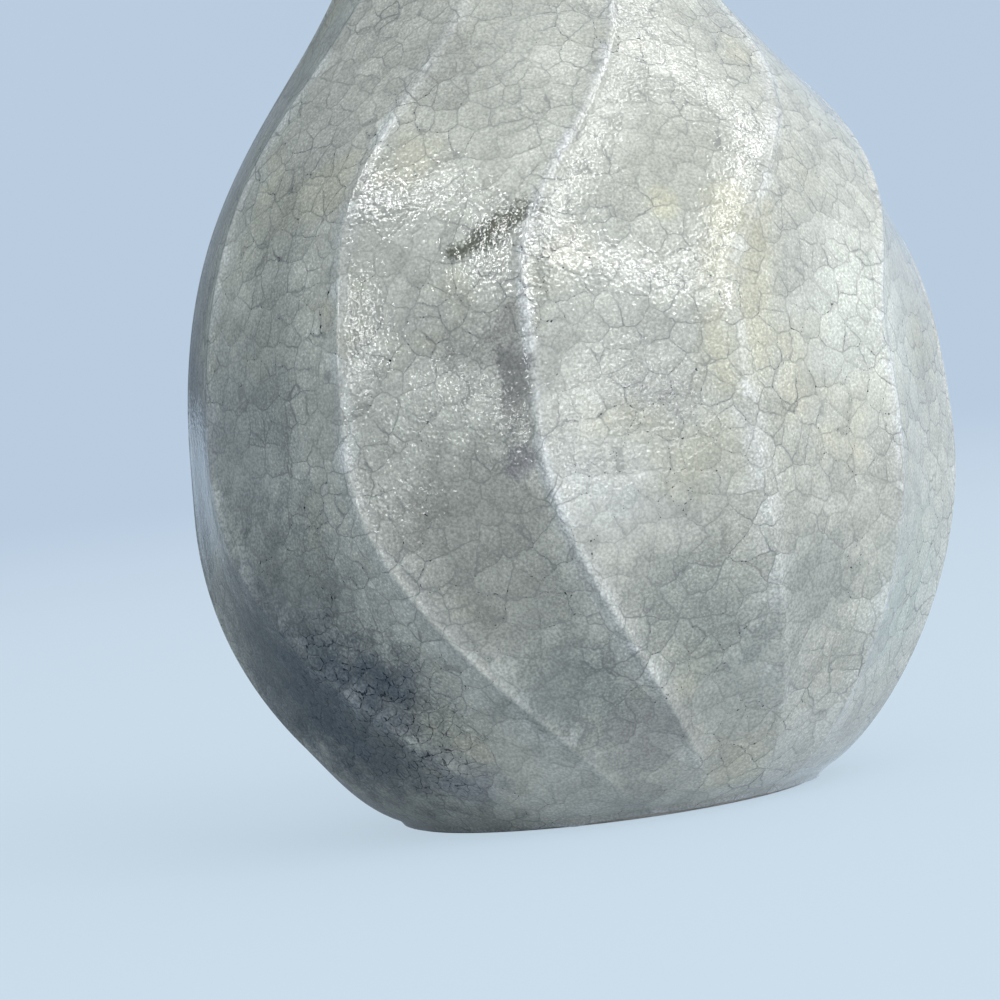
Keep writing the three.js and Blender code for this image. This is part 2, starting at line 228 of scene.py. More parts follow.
@dataclass(frozen=True)
class FlutedWall:
    """The fluted wall: hollow flutes between sharp crests, with a raised bead of glaze along each crest."""

    outline: Outline
    ribs: Ribs = field(default_factory=Ribs)
    columns_per_flute: int = 30
    crowding: float = 0.75
    flute_depth: float = 1.9 * MM
    flute_spacing: float = 30.0
    spacing_power: float = 0.7
    crest_rounding: float = 0.12
    crest_blend: tuple[float, float] = (0.2, 0.8)
    foot_fade: tuple[float, float] = (-2 * MM, 13 * MM)
    neck_fade: tuple[float, float] = (76 * MM, 112 * MM)
    pooling: tuple[float, float] = (0.4, 0.82)
    pooling_rise: tuple[float, float] = (32 * MM, 54 * MM)
    pooling_share: tuple[float, ...] = (0.6, 1.0, 1.0, 0.8, 0.4, 0.25, 0.3, 0.2, 0.3, 0.2, 0.3, 0.4)
    bead_height: float = 0.22 * MM
    bead_width: float = 0.6 * MM
    bead_share: tuple[float, ...] = (0.35, 0.55, 1.0, 0.4, 0.9, 0.4, 0.6, 0.3, 0.8, 0.4, 0.5, 0.35)
    bead_fade: tuple[float, float] = (70 * MM, 92 * MM)
    uneven: float = 0.16 * MM
    inset: float = 0.02 * MM
    dents: tuple[Dent, ...] = (
        Dent(102, 24 * MM, 7.0 * MM, 0.30 * MM),
        Dent(168, 52 * MM, 6.5 * MM, 0.35 * MM),
        Dent(231, 31 * MM, 7.0 * MM, 0.30 * MM),
        Dent(298, 60 * MM, 5.5 * MM, 0.30 * MM),
    )

    @property
    def columns(self) -> int:
        """Number of columns round the vase."""
        return self.ribs.count * self.columns_per_flute

    def by_crest(self, shares: tuple[float, ...]) -> Array:
        """Spread one number a rib over the columns.

        Args:
            shares: one number for each rib.

        Returns:
            One number a column, eased across each flute from its first rib's to the next rib's.
        """
        flute, across = self.across()
        here = np.asarray(shares)[flute]
        there = np.asarray(shares)[(flute + 1) % self.ribs.count]
        return here + (there - here) * smoothstep(across, *self.crest_blend)

    def across(self) -> tuple[Array, Array]:
        """Place the columns.

        Returns:
            For each column its flute's number and its place across the flute, from 0 to 1. A sine taken
            off even steps crowds the columns towards the crests.
        """
        step = np.arange(self.columns_per_flute) / self.columns_per_flute
        crowded = step - self.crowding * np.sin(2 * np.pi * step) / (2 * np.pi)
        flute = np.repeat(np.arange(self.ribs.count), self.columns_per_flute)
        return flute, np.tile(crowded, self.ribs.count)

    def fade(self, height: Array) -> Array:
        """Share of the full flute depth at each height: it dies away at the foot line and up the neck."""
        return smoothstep(height, *self.foot_fade) * (1.0 - smoothstep(height, *self.neck_fade))

    def shape(self, across: Array) -> Array:
        """Share of the flute's depth across it: a rounded rectified sine, 0 on both crests."""
        wave = np.hypot(np.sin(np.pi * across), self.crest_rounding) - self.crest_rounding
        return wave / (math.hypot(1.0, self.crest_rounding) - self.crest_rounding)

    def surface(self, height: Array, fine: bool) -> tuple[Array, Array, Array, Array]:
        """Work out the wall over a grid of heights.

        Args:
            height: heights by row and column; columns run round the vase.
            fine: whether the outer coat's own relief is added: the small inset, glaze pooled in the flutes
                by height and by flute, the beads along the crests, the unevenness and the dents.

        Returns:
            The angle and radius of each point, the share of the flute depth there, and the distance along
            the surface to the nearest crest. The radius is the outline less the flute depth, which grows
            with the flute's width and with the outline's radius; a bell curve leaves the bead standing.
        """
        flute, across = self.across()
        angles = self.ribs.angles(height)
        rows = np.arange(height.shape[0])[:, None]
        column = np.arange(height.shape[1])[None, :]
        left = angles[rows, column, flute[None, :]]
        width = angles[rows, column, flute[None, :] + 1] - left
        angle = left + width * across
        crest = self.outline.radius(height)
        hollow = self.shape(across)[None, :] * self.fade(height)
        spread = (width / self.flute_spacing) ** self.spacing_power
        low, high = self.pooling
        share = np.asarray(self.pooling_share)[flute]
        pooled = low + (high - low) * smoothstep(height, *self.pooling_rise) * share
        depth = self.flute_depth * (1.0 - pooled if fine else 1.0)
        inset = self.inset if fine else 0.0
        radius = crest - inset - depth * spread * (crest / self.outline.belly_radius) * hollow
        to_crest = np.minimum(across, 1.0 - across)[None, :] * np.radians(width) * crest
        if fine:
            bell = np.exp(-((to_crest / self.bead_width) ** 2))
            standing = self.fade(height) * (1.0 - smoothstep(height, *self.bead_fade))
            radius = radius - self.bead_height * self.by_crest(self.bead_share) * standing * (1.0 - bell)
            uneven = 0.5 * (1.0 + ripple(angle, height, 0.6))
            radius = radius - self.uneven * uneven * (1.0 - bell) * self.fade(height)
            for dent in self.dents:
                around = np.radians(np.mod(angle - dent.angle + 180.0, 360.0) - 180.0) * crest
                gap = np.hypot(around, height - dent.height) / dent.reach
                radius = radius - dent.depth * np.exp(-(gap**2)) * (1.0 - bell)
        return angle, radius, hollow, to_crest


def to_points(angle: Array, radius: Array, height: Array) -> Array:
    """Place points round the axis.

    Args:
        angle: degrees, where 0 is -Y and 90 is +X.
        radius: distance from the axis.
        height: metres above the ground. The three may be single rows or columns of one grid.

    Returns:
        A grid of (x, y, z): the radius times the sine, less the radius times the cosine, and the height.
    """
    turn = np.radians(angle)
    parts = np.broadcast_arrays(radius * np.sin(turn), -radius * np.cos(turn), height)
    return np.stack(parts, axis=-1)


def make_object(name: str, points: Array, faces: list | Array) -> bpy.types.Object:
    """Put points and faces into a new smooth-shaded object at the origin.

    Args:
        name: the piece's name.
        points: an array of vertex positions.
        faces: vertex numbers of each face, outward.

    Returns:
        The object, linked to the scene.
    """
    mesh = bpy.data.meshes.new(name)
    mesh.from_pydata(points.reshape(-1, 3).tolist(), [], [tuple(int(i) for i in face) for face in faces])
    mesh.update()
    mesh.shade_smooth()
    piece = bpy.data.objects.new(name, mesh)
    bpy.context.scene.collection.objects.link(piece)
    return piece


def band_faces(rows: int, columns: int, closed_rows: bool) -> Array:
    """Quads of a grid that closes round its columns.

    Args:
        rows: number of rings.
        columns: points in each ring.
        closed_rows: whether the last ring joins the first, as on a solid ring.

    Returns:
        Four vertex numbers a quad, facing out where rings rise on the outside.
    """
    row = np.arange(rows if closed_rows else rows - 1)[:, None]
    column = np.arange(columns)[None, :]
    above = (row + 1) % rows
    beside = (column + 1) % columns
    lower = [row * columns + column, row * columns + beside]
    upper = [above * columns + beside, above * columns + column]
    return np.stack(np.broadcast_arrays(*lower, *upper), axis=-1).reshape(-1, 4)


def turned_piece(name: str, profile: Array, segments: int) -> bpy.types.Object:
    """Turn a closed (radius, height) profile round the axis.

    Args:
        name: the piece's name.
        profile: rows of (radius, height), running up the outside and down the inside; a profile whose
            ends lie on the axis gets a pole there instead of a ring.
        segments: points round the axis.

    Returns:
        The object.
    """
    angle = np.arange(segments) * 360.0 / segments
    on_axis = profile[0, 0] == 0.0
    body = profile[1:-1] if on_axis else profile
    points = to_points(angle[None, :], body[:, :1], body[:, 1:]).reshape(-1, 3)
    faces = band_faces(len(body), segments, closed_rows=not on_axis).tolist()
    if on_axis:
        poles = np.array([[0.0, 0.0, profile[0, 1]], [0.0, 0.0, profile[-1, 1]]])
        first = len(points)
        last_ring = (len(body) - 1) * segments
        column = np.arange(segments)
        beside = (column + 1) % segments
        start_fan = [beside, column, np.full(segments, first)]
        end_fan = [last_ring + column, last_ring + beside, np.full(segments, first + 1)]
        faces += np.stack(start_fan, axis=-1).tolist()
        faces += np.stack(end_fan, axis=-1).tolist()
        points = np.vstack([points, poles])
    return make_object(name, points, faces)


def rounded(corners: list[tuple[float, float]], radius: float, steps: int) -> Array:
    """Round the corners of an open profile.

    Args:
        corners: (radius, height) points; the first and last are kept as they are.
        radius: how far each rounding reaches along its sides, within the limit's share of each.
        steps: points on each rounding.

    Returns:
        The profile with each inner corner replaced by a quadratic curve between its two sides.
    """
    points = np.asarray(corners, dtype=float)
    out = [points[:1]]
    t = np.linspace(0.0, 1.0, steps)[:, None]
    for before, corner, after in zip(points[:-2], points[1:-1], points[2:]):
        back = before - corner
        ahead = after - corner
        reach_back = min(radius, ROUNDING_LIMIT * float(np.linalg.norm(back)))
        reach_ahead = min(radius, ROUNDING_LIMIT * float(np.linalg.norm(ahead)))
        start = corner + back / np.linalg.norm(back) * reach_back
        end = corner + ahead / np.linalg.norm(ahead) * reach_ahead
        out.append((1 - t) ** 2 * start + 2 * (1 - t) * t * corner + t**2 * end)
    out.append(points[-1:])
    return np.vstack(out)


def store(piece: bpy.types.Object, name: str, values: Array) -> None:
    """Keep one number per vertex on a piece, for its material to read.

    Args:
        piece: the mesh object.
        name: the attribute's name.
        values: one number per vertex.
    """
    layer = piece.data.attributes.new(name, "FLOAT", "POINT")
    layer.data.foreach_set("value", np.ascontiguousarray(values, dtype=np.float32).ravel())


class Sheet:
    """A node tree with short ways to place nodes and join them."""

    def __init__(self, tree: bpy.types.NodeTree) -> None:
        """Keep the tree."""
        self.tree = tree

    def add(self, kind: str, inputs: dict | None = None, **settings: object) -> Node:
        """Place a node.

        Args:
            kind: the node's type name.
            inputs: values or sockets by input name or number.
            settings: properties of the node itself.

        Returns:
            The node.
        """
        node = self.tree.nodes.new(kind)
        for key, value in settings.items():
            setattr(node, key, value)
        for key, value in (inputs or {}).items():
            self.feed(node.inputs[key], value)
        return node

    def feed(self, socket: Socket, value: object) -> None:
        """Join a socket to an input, or set the input's value.

        Args:
            socket: the input.
            value: another node's output, or a number, vector or colour.
        """
        if isinstance(value, Socket):
            self.tree.links.new(value, socket)
        else:
            socket.default_value = value

    def math(self, operation: str, *values: object, clamp: bool = False) -> Socket:
        """Arithmetic on numbers or sockets."""
        node = self.add("ShaderNodeMath", dict(enumerate(values)), operation=operation, use_clamp=clamp)
        return node.outputs[0]

    def span(
        self, value: object, low: float, high: float, to_low: float = 0.0, to_high: float = 1.0
    ) -> Socket:
        """Ease a value from one range to another."""
        inputs = {"Value": value, "From Min": low, "From Max": high, "To Min": to_low, "To Max": to_high}
        return self.add("ShaderNodeMapRange", inputs, interpolation_type="SMOOTHSTEP").outputs["Result"]

    def mix(self, share: object, first: object, second: object, blend: str = "MIX") -> Socket:
        """Blend two colours.

        Args:
            share: how much of the second.
            first: a colour or a socket.
            second: the colour or socket that is laid over it.
            blend: how they are mixed.

        Returns:
            The blended colour.
        """
        node = self.add("ShaderNodeMix", data_type="RGBA", blend_type=blend)
        self.feed(node.inputs["Factor"], share)
        self.feed(node.inputs["A"], solid(first))
        self.feed(node.inputs["B"], solid(second))
        return node.outputs["Result"]

    def vector(self, operation: str, *values: object) -> Node:
        """Arithmetic on vectors."""
        return self.add("ShaderNodeVectorMath", dict(enumerate(values)), operation=operation)

    def dimmed(self, colour: object, share: object) -> Socket:
        """Scale a colour's brightness.

        Args:
            colour: the colour.
            share: what it is multiplied by.

        Returns:
            The scaled colour.
        """
        node = self.vector("SCALE", colour)
        self.feed(node.inputs["Scale"], share)
        return node.outputs[0]

    def noise(self, place: Socket, size: float, detail: float) -> Node:
        """Cloudy noise whose lumps are about the given size in metres."""
        inputs = {"Vector": place, "Scale": 1.0 / size, "Detail": detail}
        return self.add("ShaderNodeTexNoise", inputs)


def solid(colour: object) -> object:
    """Add full opacity to a plain colour; a socket passes through."""
    return (*colour, 1.0) if isinstance(colour, tuple) and len(colour) == 3 else colour


def new_group(
    name: str, inputs: dict[str, float | None], outputs: tuple[str, ...]
) -> tuple[Sheet, Node, Node]:
    """Start a shader group.

    Args:
        name: the group's name.
        inputs: default value by name, or None for a place.
        outputs: names of the masks that it puts out.

    Returns:
        The sheet to draw on, the group's input node and its output node.
    """
    tree = bpy.data.node_groups.new(name, "ShaderNodeTree")
    for title, value in inputs.items():
        kind = "NodeSocketVector" if value is None else "NodeSocketFloat"
        socket = tree.interface.new_socket(name=title, in_out="INPUT", socket_type=kind)
        if value is not None:
            socket.default_value = value
    for title in outputs:
        tree.interface.new_socket(name=title, in_out="OUTPUT", socket_type="NodeSocketFloat")
    sheet = Sheet(tree)
    return sheet, sheet.add("NodeGroupInput"), sheet.add("NodeGroupOutput")


def crackle_group() -> bpy.types.NodeTree:
    """The crackle net: fine soft lines where cells meet, stronger along the lower side of each cell as
    painted shade.

    Returns:
        A group whose lines come from the distance to the nearest edge of a slightly warped cell pattern
        over the line's width, whose edge falls off a third of a cell inwards, whose lean runs from 0 at
        the upper left of a cell to 1 at its lower right, and whose tone is one random number a cell.
    """
    inputs = {"Place": None, "Cell": 2.6 * MM, "Width": 0.15 * MM}
    sheet, given, result = new_group("crackle_net", inputs, ("Line", "Edge", "Lean", "Tone"))
    scale = sheet.math("DIVIDE", 1.0, given.outputs["Cell"])
    drift = sheet.add("ShaderNodeTexNoise", {"Vector": given.outputs["Place"], "Detail": 3.0})
    sheet.feed(drift.inputs["Scale"], sheet.math("MULTIPLY", scale, WARPS_PER_CELL))
    centred = sheet.vector("SUBTRACT", drift.outputs["Color"], (0.5, 0.5, 0.5)).outputs[0]
    step = sheet.vector("SCALE", centred)
    sheet.feed(step.inputs["Scale"], sheet.math("MULTIPLY", given.outputs["Cell"], WARP_REACH))
    place = sheet.vector("ADD", given.outputs["Place"], step.outputs[0]).outputs[0]
    edge = sheet.add("ShaderNodeTexVoronoi", {"Vector": place, "Scale": scale}, feature="DISTANCE_TO_EDGE")
    cell = sheet.add("ShaderNodeTexVoronoi", {"Vector": place, "Scale": scale}, feature="F1")
    away = sheet.math("MULTIPLY", edge.outputs["Distance"], given.outputs["Cell"])
    ratio = sheet.math("DIVIDE", away, given.outputs["Width"])
    tone = sheet.add("ShaderNodeSeparateColor", {"Color": cell.outputs["Color"]}).outputs[0]
    from_middle = sheet.vector("SUBTRACT", place, cell.outputs["Position"]).outputs[0]
    downhill = sheet.vector("DOT_PRODUCT", from_middle, LOWER_RIGHT).outputs["Value"]
    in_cells = sheet.math("DIVIDE", downhill, given.outputs["Cell"])
    lean = sheet.span(in_cells, -LEAN_REACH, LEAN_REACH)
    near = sheet.span(ratio, 0.15, 1.0, 1.0, 0.0)
    # The line is drawn stronger on the lower side of each cell, as painted shade.
    line = sheet.math("MULTIPLY", near, sheet.span(lean, 0.0, 0.8, 0.5, 1.0))
    sheet.feed(result.inputs["Line"], line)
    sheet.feed(result.inputs["Edge"], sheet.span(edge.outputs["Distance"], 0.0, EDGE_REACH, 1.0, 0.0))
    sheet.feed(result.inputs["Lean"], lean)
    sheet.feed(result.inputs["Tone"], tone)
    return sheet.tree


def bubble_group() -> bpy.types.NodeTree:
    """The skin that bubbles leave on a thick glaze: lumps about the size of a bubble on longer waves.

    Returns:
        A group that gives a height from 0 to 1: noise of the bubble's size, with a little finer grain,
        plus the wave share of noise as many times larger as the wave size says, over their sum.
    """
    sheet, given, result = new_group("bubble_skin", {"Place": None, "Size": 0.4 * MM}, ("Height",))
    inputs = {"Vector": given.outputs["Place"], "Detail": 1.0, "Roughness": 0.45}
    lumps = sheet.add("ShaderNodeTexNoise", inputs)
    sheet.feed(lumps.inputs["Scale"], sheet.math("DIVIDE", 1.0, given.outputs["Size"]))
    waves = sheet.add("ShaderNodeTexNoise", {"Vector": given.outputs["Place"], "Detail": 0.0})
    sheet.feed(waves.inputs["Scale"], sheet.math("DIVIDE", 1.0 / WAVE_SIZE, given.outputs["Size"]))
    height = sheet.math("ADD", lumps.outputs["Fac"], sheet.math("MULTIPLY", waves.outputs["Fac"], WAVE_SHARE))
    sheet.feed(result.inputs["Height"], sheet.math("DIVIDE", height, 1.0 + WAVE_SHARE))
    return sheet.tree


def grit_group() -> bpy.types.NodeTree:
    """Fired clay: broad clouds of tone, fine grit, and a height with grit and turning rings.

    Returns:
        A group whose rings are a sine of radius plus height, as a tool leaves them on the wheel.
    """
    inputs = {"Place": None, "Rings": 0.0}
    sheet, given, result = new_group("clay_grit", inputs, ("Cloud", "Grit", "Height"))
    place = given.outputs["Place"]
    cloud = sheet.noise(place, CLAY_CLOUD, 3.0).outputs["Fac"]
    grain = sheet.noise(place, CLAY_GRAIN, 2.0).outputs["Fac"]
    parts = sheet.add("ShaderNodeSeparateXYZ", {"Vector": place})
    flat = sheet.add("ShaderNodeCombineXYZ", {"X": parts.outputs["X"], "Y": parts.outputs["Y"]})
    radius = sheet.vector("LENGTH", flat.outputs[0]).outputs["Value"]
    along = sheet.math("MULTIPLY", sheet.math("ADD", radius, parts.outputs["Z"]), 2 * math.pi / RING_PITCH)
    rings = sheet.math("MULTIPLY", sheet.math("SINE", along), given.outputs["Rings"])
    sheet.feed(result.inputs["Cloud"], sheet.span(cloud, 0.35, 0.65))
    sheet.feed(result.inputs["Grit"], sheet.span(grain, 0.55, 0.75))
    sheet.feed(result.inputs["Height"], sheet.math("ADD", grain, rings))
    return sheet.tree


@dataclass(frozen=True)
class Groups:
    """The effects that more than one finish uses."""

    crackle: bpy.types.NodeTree
    bubbles: bpy.types.NodeTree
    grit: bpy.types.NodeTree

    @classmethod
    def build(cls) -> "Groups":
        """Build each group once."""
        return cls(crackle_group(), bubble_group(), grit_group())


class Coat(Enum):
    """Which of the vase's glaze coats a finish is for."""

    OUTER = "outer"
    LINING = "lining"


@dataclass(frozen=True)
class ToneCloud:
    """A smudge in the glaze colour, from smoke and stains; some of the dark ones are partly painted shade.

    It lies round a place, or along the line from there to an end.
    """

    place: tuple[float, float, float]
    reach: float
    depth: float
    tint: Colour
    end: tuple[float, float, float] | None = None
    rag: float = 0.9
    core: float = 0.3
    fringe: float = 1.05

    def inside(self, sheet: Sheet, place: Socket, rough: Socket) -> Socket:
        """Share of the smudge at each point: its depth in the middle, dying away over a ragged edge.

        Args:
            sheet: where the nodes go.
            place: Object coordinates.
            rough: noise that makes the edge ragged.

        Returns:
            The share, eased from the depth at the core to 0 at the fringe, both told in reaches, over the
            distance plus the noise, which counts for as many reaches as the rag says.
        """
        middle = self.place
        if self.end is not None:
            run = Vector(self.end) - Vector(self.place)
            ahead = sheet.vector("SUBTRACT", place, self.place).outputs[0]
            along = sheet.vector("DOT_PRODUCT", ahead, tuple(run)).outputs["Value"]
            share = sheet.math("MULTIPLY", along, 1.0 / run.length_squared, clamp=True)
            step = sheet.vector("SCALE", tuple(run))
            sheet.feed(step.inputs["Scale"], share)
            middle = sheet.vector("ADD", step.outputs[0], self.place).outputs[0]
        gap = sheet.vector("DISTANCE", place, middle).outputs["Value"]
        centred = sheet.math("SUBTRACT", rough, 0.5)
        ragged = sheet.math("ADD", gap, sheet.math("MULTIPLY", centred, self.rag * self.reach))
        return sheet.span(ragged, self.core * self.reach, self.fringe * self.reach, self.depth, 0.0)


@dataclass(frozen=True)
class CrackleGlaze:
    """A thick milky glaze over grey clay, with a stained crackle, bubbles, iron specks and pale crests."""

    coat: Coat
    milk: Colour = (0.61, 0.62, 0.57)
    mist: Colour = (0.42, 0.43, 0.405)
    cream: Colour = (0.62, 0.60, 0.46)
    crest: Colour = (0.73, 0.75, 0.77)
    stain: Colour = (0.16, 0.17, 0.18)
    speck: Colour = (0.012, 0.014, 0.02)
    cell: float = 2.6 * MM
    line: float = 0.13 * MM
    small_cell: float = 1.3 * MM
    small_line: float = 0.12 * MM
    bubble: float = 0.42 * MM
    skin_depth: float = 0.085 * MM
    roughness: float = 0.04
    index: float = 1.52
    scatter: float = 0.2
    scatter_tint: Colour = (1.0, 1.0, 0.9)
    scatter_depth: float = 0.6 * MM
    broad_size: float = 12 * MM
    middle_size: float = 2.4 * MM
    grain_size: float = 0.26 * MM
    froth_and_glint_size: float = 0.2 * MM
    clouds: tuple[ToneCloud, ...] = ()
    soot: tuple[ToneCloud, ...] = ()

    def material(self, groups: Groups) -> bpy.types.Material:
        """Build the glaze: its ground, then crests, crackle with painted cell shade, grain, pale dots
        that are partly bubbles and partly painted glints, specks and soot, and its skin.

        Args:
            groups: the shared effects.

        Returns:
            The material.
        """
        material = bpy.data.materials.new(f"{self.coat.value}_crackle_glaze")
        material.use_nodes = True
        sheet = Sheet(material.node_tree)
        shader = material.node_tree.nodes["Principled BSDF"]
        place = sheet.add("ShaderNodeTexCoord").outputs["Object"]
        slow = sheet.noise(place, self.broad_size, 3.0).outputs["Color"]
        broad = sheet.add("ShaderNodeSeparateColor", {"Color": slow})
        middle = sheet.noise(place, self.middle_size, 3.0).outputs["Fac"]
        fine = sheet.noise(place, self.grain_size, 2.0).outputs["Fac"]
        net = self.net(sheet, groups.crackle, place, self.cell, self.line)
        small = self.net(sheet, groups.crackle, place, self.small_cell, self.small_line)
        body = self.ground(sheet, place, broad, middle, fine)
        body = self.crested(sheet, body, net, broad, middle, fine)
        body = self.crackled(sheet, body, net, small, broad, middle, fine)
        body = sheet.dimmed(body, sheet.span(fine, 0.25, 0.75, 0.78, 1.18))
        # Pale dots, partly bubbles in the glaze and partly painted glints.
        body = sheet.dimmed(body, self.froth_and_glints(sheet, place, broad))
        body = sheet.mix(self.specks(sheet, net, broad, fine), body, self.speck)
        body = self.sooted(sheet, body, place, small, middle, fine)
        sheet.feed(shader.inputs["Base Color"], body)
        sheet.feed(shader.inputs["Normal"], self.skin(sheet, groups.bubbles, place))
        sheet.feed(shader.inputs["Roughness"], self.roughness)
        sheet.feed(shader.inputs["IOR"], self.index)
        sheet.feed(shader.inputs["Subsurface Weight"], self.scatter)
        sheet.feed(shader.inputs["Subsurface Radius"], self.scatter_tint)
        sheet.feed(shader.inputs["Subsurface Scale"], self.scatter_depth)
        return material

    def net(
        self, sheet: Sheet, crackle: bpy.types.NodeTree, place: Socket, cell: float, width: float
    ) -> Node:
        """Place one crackle net.

        Args:
            sheet: where the nodes go.
            crackle: the crackle group.
            place: Object coordinates.
            cell: size of a cell.
            width: width of a line.

        Returns:
            The net, with its masks as outputs.
        """
        node = sheet.add("ShaderNodeGroup", node_tree=crackle)
        sheet.feed(node.inputs["Place"], place)
        sheet.feed(node.inputs["Cell"], cell)
        sheet.feed(node.inputs["Width"], width)
        return node

    def ground(self, sheet: Sheet, place: Socket, broad: Node, middle: Socket, fine: Socket) -> Socket:
        """Colour of the glaze before its lines: milk, mist and cream by noise, then the tone clouds.

        Args:
            sheet: where the nodes go.
            place: Object coordinates.
            broad: three slow noises.
            middle: one quicker noise.
            fine: grain.

        Returns:
            The colour.
        """
        body = sheet.mix(sheet.span(broad.outputs[0], 0.32, 0.68, 0.15, 0.72), self.milk, self.mist)
        body = sheet.mix(sheet.span(broad.outputs[1], 0.54, 0.68, 0.0, 0.4), body, self.cream)
        body = sheet.dimmed(body, sheet.span(middle, 0.25, 0.75, 0.91, 1.08))
        rough = sheet.math("ADD", sheet.math("MULTIPLY", middle, 0.7), sheet.math("MULTIPLY", fine, 0.3))
        for cloud in self.clouds:
            body = sheet.mix(cloud.inside(sheet, place, rough), body, cloud.tint)
        return body

    def crested(
        self, sheet: Sheet, body: Socket, net: Node, broad: Node, middle: Socket, fine: Socket
    ) -> Socket:
        """Lay the pale crests over the ground, strong in some cells and stretches and worn in others.

        Args:
            sheet: where the nodes go.
            body: the colour so far.
            net: the large crackle net, whose cells differ in tone.
            broad: three slow noises.
            middle: a quicker noise.
            fine: grain.

        Returns:
            The colour with the crests, or the same colour on a coat that has none.
        """
        if self.coat is Coat.LINING:
            return body
        crest = sheet.add("ShaderNodeAttribute", attribute_name="crest").outputs["Fac"]
        worn = sheet.math("ADD", broad.outputs[2], sheet.math("MULTIPLY", middle, 0.6))
        ragged = sheet.math("MULTIPLY", crest, sheet.span(fine, 0.3, 0.6, 0.5, 1.05))
        strength = sheet.math("MULTIPLY", ragged, sheet.span(worn, 0.5, 0.95, 0.4, 1.0))
        strength = sheet.math("MULTIPLY", strength, sheet.span(net.outputs["Tone"], 0.1, 0.9, 0.45, 1.05))
        return sheet.mix(strength, body, self.crest)

    def crackled(
        self, sheet: Sheet, body: Socket, net: Node, small: Node, broad: Node, middle: Socket, fine: Socket
    ) -> Socket:
        """Draw the stained crackle.

        Args:
            sheet: where the nodes go.
            body: the colour so far.
            net: the large net.
            small: the small net.
            broad: three slow noises, which let the stain fade in and out.
            middle: a quicker noise, which drops some stretches of line.
            fine: grain, which breaks the lines up.

        Returns:
            The colour with each cell's tone, its painted light along the upper edge and painted shade along
            the lower edge, the large net and a faint small net.
        """
        body = sheet.dimmed(body, sheet.span(net.outputs["Tone"], 0.0, 1.0, 0.95, 1.05))
        # Painted light and shade on each cell: paler at its upper left, darker at its lower right.
        body = sheet.dimmed(body, sheet.span(net.outputs["Lean"], 0.0, 1.0, 1.02, 0.98))
        # Painted shade along each cell's lower edge, with a faint painted light along its upper edge.
        lower = sheet.span(net.outputs["Lean"], 0.0, 1.0, 0.01, -0.08)
        rim = sheet.math("MULTIPLY", net.outputs["Edge"], lower)
        body = sheet.dimmed(body, sheet.math("ADD", rim, 1.01))
        dropped = sheet.span(middle, 0.36, 0.56, 0.3, 1.0)
        broken = sheet.math("MULTIPLY", sheet.span(fine, 0.3, 0.6, 0.4, 1.0), dropped)
        strength = sheet.math("MULTIPLY", sheet.span(broad.outputs[2], 0.32, 0.62, 0.22, 0.8), broken)
        body = sheet.mix(sheet.math("MULTIPLY", net.outputs["Line"], strength), body, self.stain)
        faint = sheet.math("MULTIPLY", sheet.span(broad.outputs[0], 0.48, 0.66, 0.0, 0.3), broken)
        return sheet.mix(sheet.math("MULTIPLY", small.outputs["Line"], faint), body, self.stain)

    def froth_and_glints(self, sheet: Sheet, place: Socket, broad: Node) -> Socket:
        """Tiny pale dots, partly bubbles in the glaze and partly painted glints, thick in some patches.

        Args:
            sheet: where the nodes go.
            place: Object coordinates.
            broad: three slow noises.

        Returns:
            What the colour is multiplied by: 1 between the dots and more on them.
        """
        dots = sheet.span(sheet.noise(place, self.froth_and_glint_size, 0.0).outputs["Fac"], 0.58, 0.70)
        gain = sheet.math("MULTIPLY", dots, sheet.span(broad.outputs[2], 0.42, 0.58, 0.05, 0.26))
        return sheet.math("ADD", 1.0, gain)

    def specks(self, sheet: Sheet, net: Node, broad: Node, fine: Socket) -> Socket:
        """The dark iron specks, which sit on the crackle in a few places.

        Args:
            sheet: where the nodes go.
            net: the large crackle net.
            broad: three slow noises.
            fine: grain.

        Returns:
            Their mask.
        """
        near = sheet.span(net.outputs["Line"], 0.1, 0.5)
        rare = sheet.span(fine, 0.62, 0.68)
        where = sheet.span(broad.outputs[1], 0.46, 0.55)
        return sheet.math("MULTIPLY", sheet.math("MULTIPLY", near, rare), where)

    def sooted(
        self, sheet: Sheet, body: Socket, place: Socket, small: Node, middle: Socket, fine: Socket
    ) -> Socket:
        """Draw the small net again in short strokes of soot, where smoke got into the cracks.

        Args:
            sheet: where the nodes go.
            body: the colour so far.
            place: Object coordinates.
            small: the small net, drawn along the lower side of its cells.
            middle: a quicker noise, which makes the edge of a sooty place ragged.
            fine: grain, which cuts the lines into strokes.

        Returns:
            The colour with each sooty place's strokes in its tint.
        """
        stroke = sheet.math("MULTIPLY", small.outputs["Line"], sheet.span(small.outputs["Lean"], 0.3, 0.8))
        drawn = sheet.math("MULTIPLY", sheet.span(stroke, 0.0, 0.35), sheet.span(fine, 0.40, 0.56))
        for cloud in self.soot:
            inside = cloud.inside(sheet, place, middle)
            body = sheet.mix(sheet.math("MULTIPLY", inside, drawn), body, cloud.tint)
        return body

    def skin(self, sheet: Sheet, bubbles: bpy.types.NodeTree, place: Socket) -> Socket:
        """The skin that the bubbles leave.

        Args:
            sheet: where the nodes go.
            bubbles: the bubble group.
            place: Object coordinates.

        Returns:
            Its normal.
        """
        lumps = sheet.add("ShaderNodeGroup", node_tree=bubbles)
        sheet.feed(lumps.inputs["Place"], place)
        sheet.feed(lumps.inputs["Size"], self.bubble)
        inputs = {"Strength": 1.0, "Distance": self.skin_depth, "Height": lumps.outputs["Height"]}
        return sheet.add("ShaderNodeBump", inputs).outputs["Normal"]


